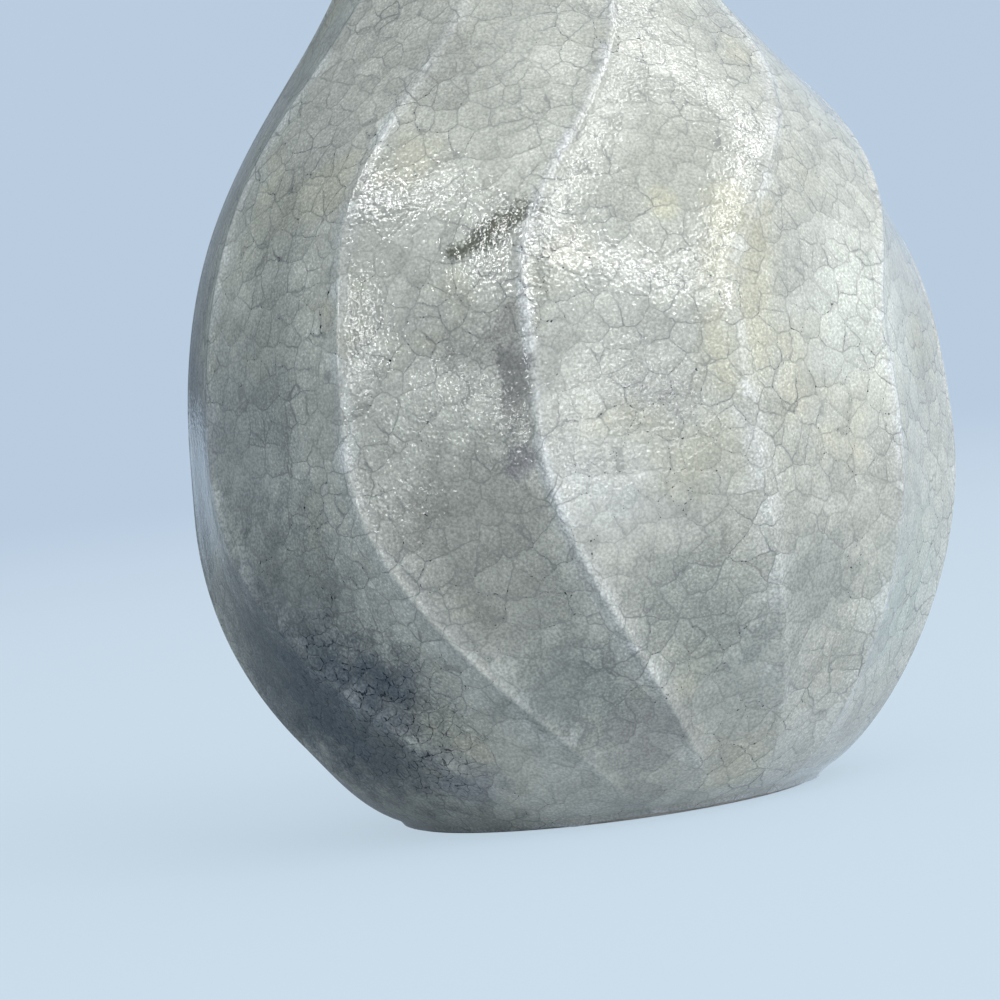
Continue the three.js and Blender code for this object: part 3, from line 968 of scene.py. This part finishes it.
@dataclass(frozen=True)
class BareStoneware:
    """Fired clay with no glaze: clouds of tone, grit, turning rings and a dry surface."""

    name: str
    tone: Colour
    grit: Colour
    rings: float = 0.0
    roughness: float = 0.75
    cloud_tone: float = 0.78
    grit_share: float = 0.5
    grain_depth: float = 0.12 * MM
    grain_strength: float = 0.5

    def material(self, groups: Groups) -> bpy.types.Material:
        """Build the finish from the clay grit group.

        Args:
            groups: the shared effects.

        Returns:
            The material.
        """
        material = bpy.data.materials.new(self.name)
        material.use_nodes = True
        sheet = Sheet(material.node_tree)
        shader = material.node_tree.nodes["Principled BSDF"]
        clay = sheet.add("ShaderNodeGroup", node_tree=groups.grit)
        sheet.feed(clay.inputs["Place"], sheet.add("ShaderNodeTexCoord").outputs["Object"])
        sheet.feed(clay.inputs["Rings"], self.rings)
        dark = tuple(self.cloud_tone * part for part in self.tone)
        body = sheet.mix(clay.outputs["Cloud"], self.tone, dark)
        body = sheet.mix(sheet.math("MULTIPLY", clay.outputs["Grit"], self.grit_share), body, self.grit)
        sheet.feed(shader.inputs["Base Color"], body)
        sheet.feed(shader.inputs["Roughness"], self.roughness)
        inputs = {"Strength": self.grain_strength, "Distance": self.grain_depth}
        bump = sheet.add("ShaderNodeBump", inputs)
        sheet.feed(bump.inputs["Height"], clay.outputs["Height"])
        sheet.feed(shader.inputs["Normal"], bump.outputs["Normal"])
        return material


def dress(piece: bpy.types.Object, material: bpy.types.Material) -> None:
    """Give a piece one material on all its faces."""
    piece.data.materials.clear()
    piece.data.materials.append(material)


def settle(piece: bpy.types.Object, node: str) -> None:
    """Ride a new piece on the vase's body in place of a CAD node, and report it.

    Args:
        piece: the new piece.
        node: the CAD node that it replaces.
    """
    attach(piece, BODY)
    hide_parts(node)
    log.info("%s: %d faces, in place of %s", piece.name, len(piece.data.polygons), node)


@dataclass
class OuterCoat:
    """The outer glaze coat: a thin closed shell over the ribs, with a rolled lip and a rolled foot edge."""

    wall: FlutedWall
    rows: int = 228
    lip_rows: int = 9
    under_rows: int = 24
    lip_rounding: float = 1.3 * MM
    lip_glaze: float = 0.9 * MM
    fit: float = 0.2 * MM
    on_crest: float = 0.6 * MM
    in_flute: float = 1.2 * MM
    mouth_radius: float = 14.9 * MM
    foot_ring_radius: float = 20.5 * MM
    edge_roll: float = 0.45 * MM
    roll_stretch: float = 1.6
    edge_wave: float = 0.055 * MM
    edge_drop: float = 0.6 * MM
    run_depth: float = 0.2 * MM
    run_angle: float = -13.0
    run_width: float = 3.0
    crowding: float = 0.35
    overlap: float = 2.1 * MM
    least_crest: float = 0.35
    edge_glow: tuple[float, float] = (0.15 * MM, 0.5 * MM)
    sharp_glow: float = 0.6 * MM
    soft_glow: float = 1.7 * MM
    low_band: tuple[float, float] = (12 * MM, 42 * MM)
    low_spread: float = 1.1
    low_fade: float = 0.5

    def edge(self, angle: Array) -> Array:
        """Height of the glaze's lower edge round the foot.

        Args:
            angle: degrees round the vase.

        Returns:
            The foot line less a drop, plus three sine waves, less a bell curve for one small run of
            glaze at the front.
        """
        line = self.wall.outline.foot_line
        turn = np.radians(angle)
        wave = np.sin(3 * turn + 0.4) + 0.6 * np.sin(7 * turn + 1.9) + 0.4 * np.sin(13 * turn)
        from_run = np.mod(angle + 180.0, 360.0) - 180.0 - self.run_angle
        run = self.run_depth * np.exp(-((from_run / self.run_width) ** 2))
        return line - self.edge_drop + self.edge_wave * wave - run

    def build(self) -> bpy.types.Object:
        """Build the shell: up the outside, over the lip and down the inside, closed at the foot edge.

        Returns:
            The piece, with a crest attribute that falls off from each rib by a bell curve.
        """
        outline = self.wall.outline
        lip_base = outline.height - self.lip_rounding
        share = np.linspace(0.0, 1.0, self.rows)
        share = share - self.crowding * np.sin(np.pi * share) ** 2 * (1 - share) ** 3
        angle, _, _, _ = self.wall.surface(np.full((1, self.wall.columns), outline.foot_line), fine=True)
        start = self.edge(angle[0])
        height = start[None, :] + (lip_base - start[None, :]) * share[:, None]
        angle, radius, _, to_crest = self.wall.surface(height, fine=True)
        above = np.clip((height - start[None, :]) / (self.roll_stretch * self.edge_roll), 0.0, 1.0)
        radius = radius - self.edge_roll * (1.0 - np.sqrt(1.0 - (1.0 - above) ** 2))
        outside = to_points(angle, radius, height)
        strength = self.wall.fade(height) * (1.0 - smoothstep(height, *self.wall.bead_fade))
        bead = self.wall.by_crest(self.wall.bead_share)
        low = 1.0 - smoothstep(height, *self.low_band)
        reach = (self.soft_glow + (self.sharp_glow - self.soft_glow) * bead) * (1.0 + self.low_spread * low)
        pale = self.least_crest + (1.0 - self.least_crest) * bead
        glow = np.exp(-((to_crest / reach) ** 2)) * strength * pale * (1.0 - self.low_fade * low)
        full, none = self.edge_glow
        glow = np.maximum(glow, 1.0 - smoothstep(height, start[None, :] + full, start[None, :] + none))

        top_angle = angle[-1:]
        top_radius = radius[-1:]
        under = outline.height - self.lip_glaze + self.fit
        turn = np.linspace(0.0, np.pi / 2, self.lip_rows)[:, None]
        lip_radius = top_radius - self.lip_rounding * (1 - np.cos(turn))
        lip_out = to_points(top_angle, lip_radius, lip_base + self.lip_rounding * np.sin(turn))[1:]
        inner_round = outline.height - under
        turn = turn[::-1]
        lip_radius = self.mouth_radius + inner_round * (1 - np.cos(turn))
        lip_in = to_points(top_angle, lip_radius, under + inner_round * np.sin(turn))

        bottom = outline.foot_line + self.overlap
        down = np.linspace(under, bottom, self.under_rows)
        inner_height = np.broadcast_to(down[:, None], (self.under_rows, self.wall.columns))
        inner_angle, inner_radius, hollow, _ = self.wall.surface(inner_height, fine=False)
        inner_radius = inner_radius - self.on_crest - (self.in_flute - self.on_crest) * hollow
        inside = to_points(inner_angle, inner_radius, inner_height)
        seat = to_points(angle[:1], np.array([[self.foot_ring_radius + self.fit]]), height[:1])
        rings = np.concatenate([outside, lip_out, lip_in, inside, seat])
        faces = band_faces(len(rings), self.wall.columns, closed_rows=True)
        piece = make_object("outer_glaze_coat", rings, faces)
        crest = np.zeros(rings.shape[:2])
        crest[: self.rows] = glow
        store(piece, "crest", crest)
        return piece


@dataclass
class Lining:
    """The inner coat: a thin cup of glaze from the floor to the mouth, turned from the hollow's outline."""

    wall: FlutedWall
    clay_wall: float = 2.6 * MM
    lip_wall: float = 1.8 * MM
    floor: float = 7.2 * MM
    fillet_top: float = 14 * MM
    fillet_start: float = 19.7 * MM
    gap: float = 0.2 * MM
    thickness: float = 0.45 * MM
    lowest_row: float = 0.6 * MM
    corner_reach: float = 1 * MM
    rows: int = 110
    segments: int = 144

    def hollow(self, height: Array, coat: OuterCoat) -> Array:
        """Radius of the round hollow in the clay at each height.

        Args:
            height: heights in metres.
            coat: the outer coat, for the depth of glaze over the clay.

        Returns:
            The smallest clay radius less the wall, and a parabola into the floor below the fillet's top.
        """
        grid = np.broadcast_to(height[:, None], (len(height), self.wall.columns))
        _, radius, share, _ = self.wall.surface(grid, fine=False)
        clay = radius - coat.on_crest - (coat.in_flute - coat.on_crest) * share - coat.fit
        outline = self.wall.outline
        thin = smoothstep(height, outline.neck_height, outline.height)
        open_radius = clay.min(axis=1) - (self.clay_wall + (self.lip_wall - self.clay_wall) * thin)
        below = np.clip((self.fillet_top - height) / (self.fillet_top - self.floor), 0.0, 1.0)
        return open_radius + (self.fillet_start - open_radius) * below**2

    def build(self, coat: OuterCoat) -> bpy.types.Object:
        """Turn the cup: out over the floor, up the wall, over the rim and back down its own inside.

        Args:
            coat: the outer coat, whose glaze on the lip sets how high the rim may reach.

        Returns:
            The piece.
        """
        top = self.wall.outline.height - coat.lip_glaze
        height = np.linspace(self.floor + self.lowest_row, top, self.rows)
        outer = np.stack([self.hollow(height, coat) - self.gap, height], axis=1)
        inner = outer[::-1] - np.array([self.thickness, 0.0])
        corner = (self.fillet_start - self.gap, self.floor)
        floor_out = rounded([(0.0, self.floor), corner, tuple(outer[0])], self.corner_reach, 6)
        lifted = self.floor + self.thickness
        corner = (self.fillet_start - self.gap - self.thickness, lifted)
        floor_in = rounded([tuple(inner[-1]), corner, (0.0, lifted)], self.corner_reach, 6)
        profile = np.vstack([floor_out[:-1], outer, inner[:-1], floor_in])
        return turned_piece("inner_glaze_lining", profile, self.segments)


@dataclass
class Foot:
    """The foot: the turned clay ring with eased edges, and the disc of glaze inside it."""

    coat: OuterCoat
    ring_width: float = 4.4 * MM
    ring_height: float = 3 * MM
    ease: float = 0.5 * MM
    top_radius: float = 23.5 * MM
    glaze_gap: float = 0.3 * MM
    glaze_thickness: float = 0.5 * MM
    glaze_ease: float = 0.35 * MM
    segments: int = 180

    def ring(self) -> bpy.types.Object:
        """Turn the ring: a flat rest face, eased edges, a short upright band and a cone to the wall above.

        Returns:
            The piece.
        """
        outer = self.coat.foot_ring_radius
        bore = outer - self.ring_width
        line = self.coat.wall.outline.foot_line
        middle = 0.5 * (outer + bore)
        corners = [
            (middle, 0.0), (outer, 0.0), (outer, line), (self.top_radius, self.ring_height),
            (bore, self.ring_height), (bore, 0.0), (middle, 0.0),
        ]
        profile = rounded(corners, self.ease, 5)[:-1]
        return turned_piece("turned_foot_ring", profile, self.segments)

    def disc(self) -> bpy.types.Object:
        """Turn the flat disc of glaze under the floor, with its edge rounded above and below.

        Returns:
            The piece.
        """
        radius = self.coat.foot_ring_radius - self.ring_width - self.glaze_gap
        top = self.ring_height - self.coat.fit
        low = top - self.glaze_thickness
        corners = [(0.0, low), (radius, low), (radius, top), (0.0, top)]
        return turned_piece("base_glaze_disc", rounded(corners, self.glaze_ease, 6), self.segments)


def toward(azimuth: float, elevation: float) -> Vector:
    """Direction out from the vase.

    Args:
        azimuth: degrees from the front towards the right.
        elevation: degrees above the level.

    Returns:
        A unit vector.
    """
    turn = math.radians(azimuth)
    rise = math.radians(elevation)
    return Vector((math.sin(turn) * math.cos(rise), -math.cos(turn) * math.cos(rise), math.sin(rise)))


def hang_lamp(
    name: str, at: Vector, along: Vector, sizes: tuple[float, float], radiance: float
) -> bpy.types.Object:
    """Hang a rectangular lamp that faces the vase.

    Args:
        name: the lamp's name.
        at: its middle, from the middle of the vase.
        along: the direction of its first side.
        sizes: its two sides.
        radiance: how bright its face is.

    Returns:
        The lamp, linked to the scene.
    """
    data = bpy.data.lights.new(name, "AREA")
    data.shape = "RECTANGLE"
    data.size = sizes[0]
    data.size_y = sizes[1]
    data.energy = radiance * math.pi * sizes[0] * sizes[1]
    away = at.normalized()
    side = (along - along.dot(away) * away).normalized()
    turn = Matrix((side, away.cross(side), away)).transposed().to_4x4()
    lamp = bpy.data.objects.new(name, data)
    lamp.matrix_world = Matrix.Translation(Vector(VASE_MIDDLE) + at) @ turn
    bpy.context.scene.collection.objects.link(lamp)
    return lamp


@dataclass(frozen=True)
class Softbox:
    """A broad soft lamp on a sphere round the vase, which lights its body and doesn't show in its gloss.

    Its width and height are degrees as the vase sees it.
    """

    name: str
    azimuth: float
    elevation: float
    width: float
    height: float
    radiance: float
    colour: Colour = (1.0, 1.0, 1.0)
    distance: float = 0.9

    def hang(self) -> None:
        """Hang the lamp level."""
        away = toward(self.azimuth, self.elevation)
        halves = (math.radians(self.width / 2), math.radians(self.height / 2))
        sizes = tuple(2 * self.distance * math.tan(half) for half in halves)
        level = toward(self.azimuth + 90, 0)
        lamp = hang_lamp(self.name, away * self.distance, level, sizes, self.radiance)
        lamp.data.color = self.colour
        lamp.visible_glossy = False


@dataclass(frozen=True)
class Strip:
    """A thin lamp between two directions, each an azimuth and an elevation, that shows in the gloss only.

    Its thickness is degrees as the vase sees it.
    """

    name: str
    start: tuple[float, float]
    end: tuple[float, float]
    radiance: float
    thickness: float = 3.2
    distance: float = 0.9

    def hang(self) -> None:
        """Hang the lamp with its long side from one direction to the other."""
        first = toward(*self.start) * self.distance
        last = toward(*self.end) * self.distance
        thick = 2 * self.distance * math.tan(math.radians(self.thickness / 2))
        sizes = ((last - first).length, thick)
        lamp = hang_lamp(self.name, 0.5 * (first + last), last - first, sizes, self.radiance)
        lamp.visible_diffuse = False


@dataclass
class Studio:
    """The setting: a pale floor, the world, the lamps and a camera at the photograph's angle."""

    aim: tuple[float, float, float] = (-7.41 * MM, 0.0, 31.2 * MM)
    distance: float = 455 * MM
    elevation: float = 2.4
    lean: float = 7.27
    view_width: float = 100 * MM
    nearest: float = 10 * MM
    near_floor: Colour = (0.60, 0.72, 0.83)
    far_floor: Colour = (0.49, 0.605, 0.745)
    sky: Colour = (0.46, 0.58, 0.715)
    sky_left: Colour = (0.52, 0.645, 0.77)
    floor_shade: Colour = (0.46, 0.51, 0.56)
    sky_rise: tuple[float, float] = (0.0, 0.35)
    sky_change: tuple[float, float] = (-0.12, 0.02)
    ambient: float = 0.56
    left_to_right: tuple[float, float] = (0.7, 1.25)
    low_to_high: tuple[float, float] = (0.45, 1.45)
    front_to_back: tuple[float, float] = (1.0, 1.4)
    light_left: Colour = (0.80, 0.93, 1.0)
    light_right: Colour = (1.0, 1.0, 0.98)
    screen_edge: float = -0.08
    floor_screen_edge: float = -0.35
    screen_softness: float = 0.15
    screen_loss: float = 0.75
    floor_fade: tuple[float, float] = (0.1, 1.1)
    floor_glow: tuple[float, float] = (0.12, 0.5)
    least_glow: float = 0.8
    floor_segments: int = 96
    floor_rings: tuple[float, ...] = (0.3, 1.2, 30.0)
    lamps: tuple[Softbox | Strip, ...] = (
        Softbox("key", 42, 40, 44, 44, 2.4, colour=(1.0, 0.99, 0.95)),
        Softbox("low_fill", 38, 4, 80, 10, 2.2),
        Strip("window_corner", (4, 35), (36, 22), 18),
        Strip("window_left", (5, 36), (38, 58), 12),
        Strip("window_top", (38, 58), (101, 60), 7),
        Strip("window_right", (104, 60), (107, 42), 8),
        Strip("window_bottom", (106, 41), (38, 22), 10),
        Strip("side_upright", (-63, 30), (-50, 10), 13),
        Strip("side_top", (-74, 47), (-54, 46), 20),
        Strip("side_slope", (-54, 48), (-33, 53), 14),
        Strip("side_down", (-20, 48), (-27, 30), 20),
        Strip("shelf_left", (-37, 5), (-29, 4), 14, thickness=2.2),
        Strip("shelf_right", (11, 4), (27, 2), 10, thickness=2.2),
    )

    def camera(self) -> None:
        """Place the camera, aimed a little down and rolled, so that the vase leans left in its view."""
        tilt = math.radians(self.elevation)
        roll = math.radians(self.lean)
        ahead = Vector((0.0, math.cos(tilt), -math.sin(tilt)))
        level_up = Vector((0.0, math.sin(tilt), math.cos(tilt)))
        side = Vector((1.0, 0.0, 0.0))
        right = side * math.cos(roll) - level_up * math.sin(roll)
        up = side * math.sin(roll) + level_up * math.cos(roll)
        data = bpy.data.cameras.new("photo_camera")
        data.sensor_fit = "HORIZONTAL"
        data.lens = data.sensor_width * self.distance / self.view_width
        data.clip_start = self.nearest
        camera = bpy.data.objects.new("photo_camera", data)
        turn = Matrix((right, up, -ahead)).transposed().to_4x4()
        camera.matrix_world = Matrix.Translation(Vector(self.aim) - ahead * self.distance) @ turn
        bpy.context.scene.collection.objects.link(camera)
        bpy.context.scene.camera = camera

    def screened(self, sheet: Sheet, path: Node, away: Socket, edge: float) -> Socket:
        """Dim a direction from the vase where gloss looks left of an edge, as if a dark screen stood there.

        Args:
            sheet: where the nodes go.
            path: the light path, whose glossy rays alone are dimmed.
            away: the direction, or a place on the floor.
            edge: how far to the right of the vase the screen ends, as a share of the direction.

        Returns:
            1 less the loss, which eases in over the screen's softness on both sides of its edge.
        """
        ahead = sheet.vector("NORMALIZE", away).outputs[0]
        across = sheet.add("ShaderNodeSeparateXYZ", {"Vector": ahead}).outputs["X"]
        soft = self.screen_softness
        loss = sheet.span(across, edge - soft, edge + soft, self.screen_loss, 0.0)
        return sheet.math("SUBTRACT", 1.0, sheet.math("MULTIPLY", loss, path.outputs["Is Glossy Ray"]))

    def world(self) -> None:
        """Light the object softly, more from the right, above and behind, and show the pale backdrop.

        The camera, the gloss and what shows through glass see the backdrop and not the light.
        """
        world = bpy.data.worlds.new("studio")
        world.use_nodes = True
        bpy.context.scene.world = world
        sheet = Sheet(world.node_tree)
        world.node_tree.nodes.clear()
        path = sheet.add("ShaderNodeLightPath")
        shown = sheet.math("MAXIMUM", path.outputs["Is Camera Ray"], path.outputs["Is Transmission Ray"])
        shown = sheet.math("MAXIMUM", shown, path.outputs["Is Glossy Ray"])
        around = sheet.add("ShaderNodeTexCoord").outputs["Generated"]
        parts = sheet.add("ShaderNodeSeparateXYZ", {"Vector": around})
        rise = sheet.span(parts.outputs["Z"], *self.sky_rise)
        pale = sheet.mix(sheet.span(parts.outputs["X"], *self.sky_change), self.sky_left, self.sky)
        screened = self.screened(sheet, path, around, self.screen_edge)
        seen = sheet.dimmed(sheet.mix(rise, self.far_floor, pale), screened)
        backdrop = sheet.add("ShaderNodeBackground", {"Color": seen})
        side = sheet.span(parts.outputs["X"], -0.9, 0.9, *self.left_to_right)
        height = sheet.span(parts.outputs["Z"], -0.6, 0.9, *self.low_to_high)
        behind = sheet.span(parts.outputs["Y"], 0.2, 1.0, *self.front_to_back)
        level = sheet.math("MULTIPLY", sheet.math("MULTIPLY", side, height), self.ambient)
        level = sheet.math("MULTIPLY", level, behind)
        tint = sheet.mix(sheet.span(parts.outputs["X"], -0.7, 0.5), self.light_left, self.light_right)
        soft = sheet.add("ShaderNodeBackground", {"Color": tint, "Strength": level})
        mixed = sheet.add("ShaderNodeMixShader", {0: shown, 1: soft.outputs[0], 2: backdrop.outputs[0]})
        sheet.add("ShaderNodeOutputWorld", {"Surface": mixed.outputs[0]})

    def floor(self) -> None:
        """Lay a round pale floor that keeps the vase's shadow and melts into the backdrop far off."""
        count = self.floor_segments
        column = np.arange(count)
        reach = np.asarray(self.floor_rings)[:, None]
        rings = to_points((column * 360.0 / count)[None, :], reach, np.zeros_like(reach))
        points = np.vstack([rings.reshape(-1, 3), [[0.0, 0.0, 0.0]]])
        faces = band_faces(len(self.floor_rings), count, closed_rows=False)[:, ::-1].tolist()
        fan = [column, (column + 1) % count, np.full(count, len(points) - 1)]
        faces += np.stack(fan, axis=-1).tolist()
        floor = make_object("studio_floor", points, faces)
        material = bpy.data.materials.new("studio_floor")
        material.use_nodes = True
        sheet = Sheet(material.node_tree)
        material.node_tree.nodes.clear()
        place = sheet.add("ShaderNodeTexCoord").outputs["Object"]
        away = sheet.vector("LENGTH", place).outputs["Value"]
        colour = sheet.mix(sheet.span(away, *self.floor_fade), self.near_floor, self.far_floor)
        path = sheet.add("ShaderNodeLightPath")
        screened = self.screened(sheet, path, place, self.floor_screen_edge)
        glow = sheet.add("ShaderNodeEmission", {"Color": colour, "Strength": screened})
        lit = sheet.add("ShaderNodeBsdfDiffuse", {"Color": colour})
        dull = sheet.add("ShaderNodeBsdfDiffuse", {"Color": solid(self.floor_shade)})
        far = sheet.span(away, *self.floor_glow, self.least_glow, 1.0)
        far = sheet.math("MAXIMUM", far, path.outputs["Is Glossy Ray"])
        seen = sheet.add("ShaderNodeMixShader", {0: far, 1: lit.outputs[0], 2: glow.outputs[0]})
        shown = sheet.math("MAXIMUM", path.outputs["Is Camera Ray"], path.outputs["Is Glossy Ray"])
        mixed = sheet.add("ShaderNodeMixShader", {0: shown, 1: dull.outputs[0], 2: seen.outputs[0]})
        sheet.add("ShaderNodeOutputMaterial", {"Surface": mixed.outputs[0]})
        dress(floor, material)

    def light(self) -> None:
        """Hang every lamp."""
        for lamp in self.lamps:
            lamp.hang()


def on_wall(outline: Outline, across: float, up: float) -> tuple[float, float, float]:
    """A place on the front wall, from millimetres to the right of the axis and above the ground.

    Args:
        outline: the vase's outline over the crests.
        across: distance to the right of the axis, as seen from the front.
        up: height above the ground.

    Returns:
        The place, as far forward as the outline is there, less the usual hollow of a flute.
    """
    radius = float(outline.radius(np.array([up * MM]))[0]) - FLUTE_HOLLOW
    forward = math.sqrt(max(radius**2 - (across * MM) ** 2, 0.0))
    return (across * MM, -forward, up * MM)


def tone_clouds(outline: Outline) -> tuple[ToneCloud, ...]:
    """The smudges in the outer glaze: smoky ones on the left that are partly painted shade, grey patches,
    dark blotches and pale places.

    Args:
        outline: the vase's outline, which says how far forward each smudge lies.

    Returns:
        The smudges, in the order in which they are laid over each other.
    """
    at = partial(on_wall, outline)
    # Smoky on the left flank: partly smoke in the glaze, partly painted shade away from the light.
    smoky_and_shaded_flank = (
        ToneCloud(at(-38, 40), 20 * MM, 0.6, (0.18, 0.21, 0.24)),
        ToneCloud(at(-32, 40), 12 * MM, 0.5, (0.30, 0.33, 0.35)),
        ToneCloud(at(-25, 62), 6 * MM, 0.4, (0.24, 0.26, 0.25), end=at(-28, 44)),
    )
    # Smoky low on the left by the foot: partly smoke in the glaze, partly painted shade near the floor.
    smoky_and_shaded_foot = (
        ToneCloud(at(-29, 24), 15 * MM, 0.65, (0.16, 0.185, 0.20)),
        ToneCloud(at(-31, 17), 15 * MM, 0.75, (0.09, 0.115, 0.14)),
        ToneCloud(at(-24, 12), 14 * MM, 0.8, (0.09, 0.12, 0.15)),
        ToneCloud(at(-21, 16), 7 * MM, 0.5, (0.05, 0.075, 0.11)),
        ToneCloud(at(-14, 6), 5 * MM, 0.4, (0.28, 0.32, 0.41)),
    )
    # Grey patches darker than the ground, on the front and the right.
    grey_patches = (
        ToneCloud(at(3, 9), 6 * MM, 0.4, (0.25, 0.25, 0.26)),
        ToneCloud(at(-3, 14), 8 * MM, 0.7, (0.20, 0.23, 0.22)),
        ToneCloud(at(-7, 24), 9 * MM, 0.6, (0.27, 0.28, 0.26), end=at(-10, 32)),
        ToneCloud(at(10, 20), 10 * MM, 0.6, (0.28, 0.31, 0.29)),
        ToneCloud(at(16, 36), 8 * MM, 0.35, (0.40, 0.41, 0.36), end=at(17, 26)),
        ToneCloud(at(13, 13), 8 * MM, 0.4, (0.30, 0.34, 0.33)),
        ToneCloud(at(21, 21), 8 * MM, 0.6, (0.32, 0.35, 0.34)),
        ToneCloud(at(31, 18), 12 * MM, 0.5, (0.50, 0.58, 0.56)),
        ToneCloud(at(14, 60), 10 * MM, 0.4, (0.40, 0.41, 0.36)),
    )
    # Left of the middle rib: dark blotches, partly stain and partly painted shade, and a dark streak.
    dark_blotches = (
        ToneCloud(at(-4, 49), 2.2 * MM, 0.4, (0.13, 0.13, 0.14), end=at(-5, 40), rag=3.5),
        ToneCloud(at(-5, 44), 3.2 * MM, 0.35, (0.10, 0.10, 0.12), rag=2.5),
        ToneCloud(at(-9, 47), 3.2 * MM, 0.35, (0.16, 0.17, 0.16), rag=2.5),
        ToneCloud(at(-5, 36), 2.4 * MM, 0.55, (0.18, 0.17, 0.21), rag=2.0),
        ToneCloud(at(-8, 56), 1.6 * MM, 0.85, (0.08, 0.09, 0.06), end=at(-1, 59), rag=3.0),
    )
    pale_places = (
        ToneCloud(at(16, 43), 5 * MM, 0.6, (0.58, 0.57, 0.44), end=at(18, 56)),
        ToneCloud(at(11, 58), 2.2 * MM, 0.6, (0.64, 0.63, 0.48)),
        ToneCloud(at(3, 33), 7 * MM, 0.5, (0.74, 0.77, 0.76)),
        ToneCloud(at(30, 45), 14 * MM, 0.55, (0.76, 0.80, 0.76)),
        ToneCloud(at(19, 5), 8 * MM, 0.6, (0.66, 0.68, 0.66)),
    )
    return smoky_and_shaded_flank + smoky_and_shaded_foot + grey_patches + dark_blotches + pale_places


def sooty_cracks(outline: Outline) -> tuple[ToneCloud, ...]:
    """The two places low on the left where smoke got into the cracks.

    Args:
        outline: the vase's outline, which says how far forward each place lies.

    Returns:
        The places.
    """
    at = partial(on_wall, outline)
    return (
        ToneCloud(at(-24, 14), 15 * MM, 0.95, (0.010, 0.015, 0.032)),
        ToneCloud(at(-17, 8), 8 * MM, 0.7, (0.02, 0.025, 0.04)),
    )


def build_vase(groups: Groups) -> None:
    """Build and dress every new piece: the outer coat, the lining, the foot ring and its disc of glaze.

    Args:
        groups: the shared effects.
    """
    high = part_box("outer_glaze")[1]
    wall = FlutedWall(Outline(height=high[2]))
    coat = OuterCoat(wall)
    outer = coat.build()
    clouds = tone_clouds(wall.outline)
    soot = sooty_cracks(wall.outline)
    dress(outer, CrackleGlaze(Coat.OUTER, clouds=clouds, soot=soot).material(groups))
    settle(outer, "outer_glaze")
    thin_glaze = CrackleGlaze(Coat.LINING, cell=3.4 * MM, skin_depth=0.06 * MM).material(groups)
    lining = Lining(wall).build(coat)
    dress(lining, thin_glaze)
    settle(lining, "inner_glaze")
    foot = Foot(coat)
    ring = foot.ring()
    bare_foot = BareStoneware("bare_foot", (0.74, 0.72, 0.68), (0.48, 0.46, 0.43), rings=0.25)
    dress(ring, bare_foot.material(groups))
    settle(ring, "foot_ring")
    disc = foot.disc()
    dress(disc, thin_glaze)
    settle(disc, "base_glaze")


def dress_clay(nodes: dict[str, bpy.types.Object], groups: Groups) -> None:
    """Give the clay and slip solids inside the glaze their bare finishes.

    Args:
        nodes: the CAD's pieces by name.
        groups: the shared effects.
    """
    clay = BareStoneware("fired_clay", (0.36, 0.33, 0.30), (0.12, 0.10, 0.09)).material(groups)
    slip = BareStoneware("fired_slip", (0.42, 0.39, 0.36), (0.2, 0.17, 0.15), roughness=0.85).material(groups)
    for name in ("base_slab", "lower_belly", "upper_belly", "neck"):
        dress(nodes[name], clay)
        log.info("%s: dressed in fired clay", name)
    for name in ("belly_seam_slip", "neck_seam_slip"):
        dress(nodes[name], slip)
        log.info("%s: dressed in fired slip", name)


def main() -> None:
    """Load the frame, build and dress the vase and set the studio."""
    logging.basicConfig(level=logging.INFO, format="%(name)s: %(message)s")
    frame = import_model()
    groups = Groups.build()
    build_vase(groups)
    dress_clay(frame["nodes"], groups)
    studio = Studio()
    studio.camera()
    studio.world()
    studio.floor()
    studio.light()
    scene = bpy.context.scene
    scene.view_settings.view_transform = "Standard"


if __name__ == "__main__":
    main()
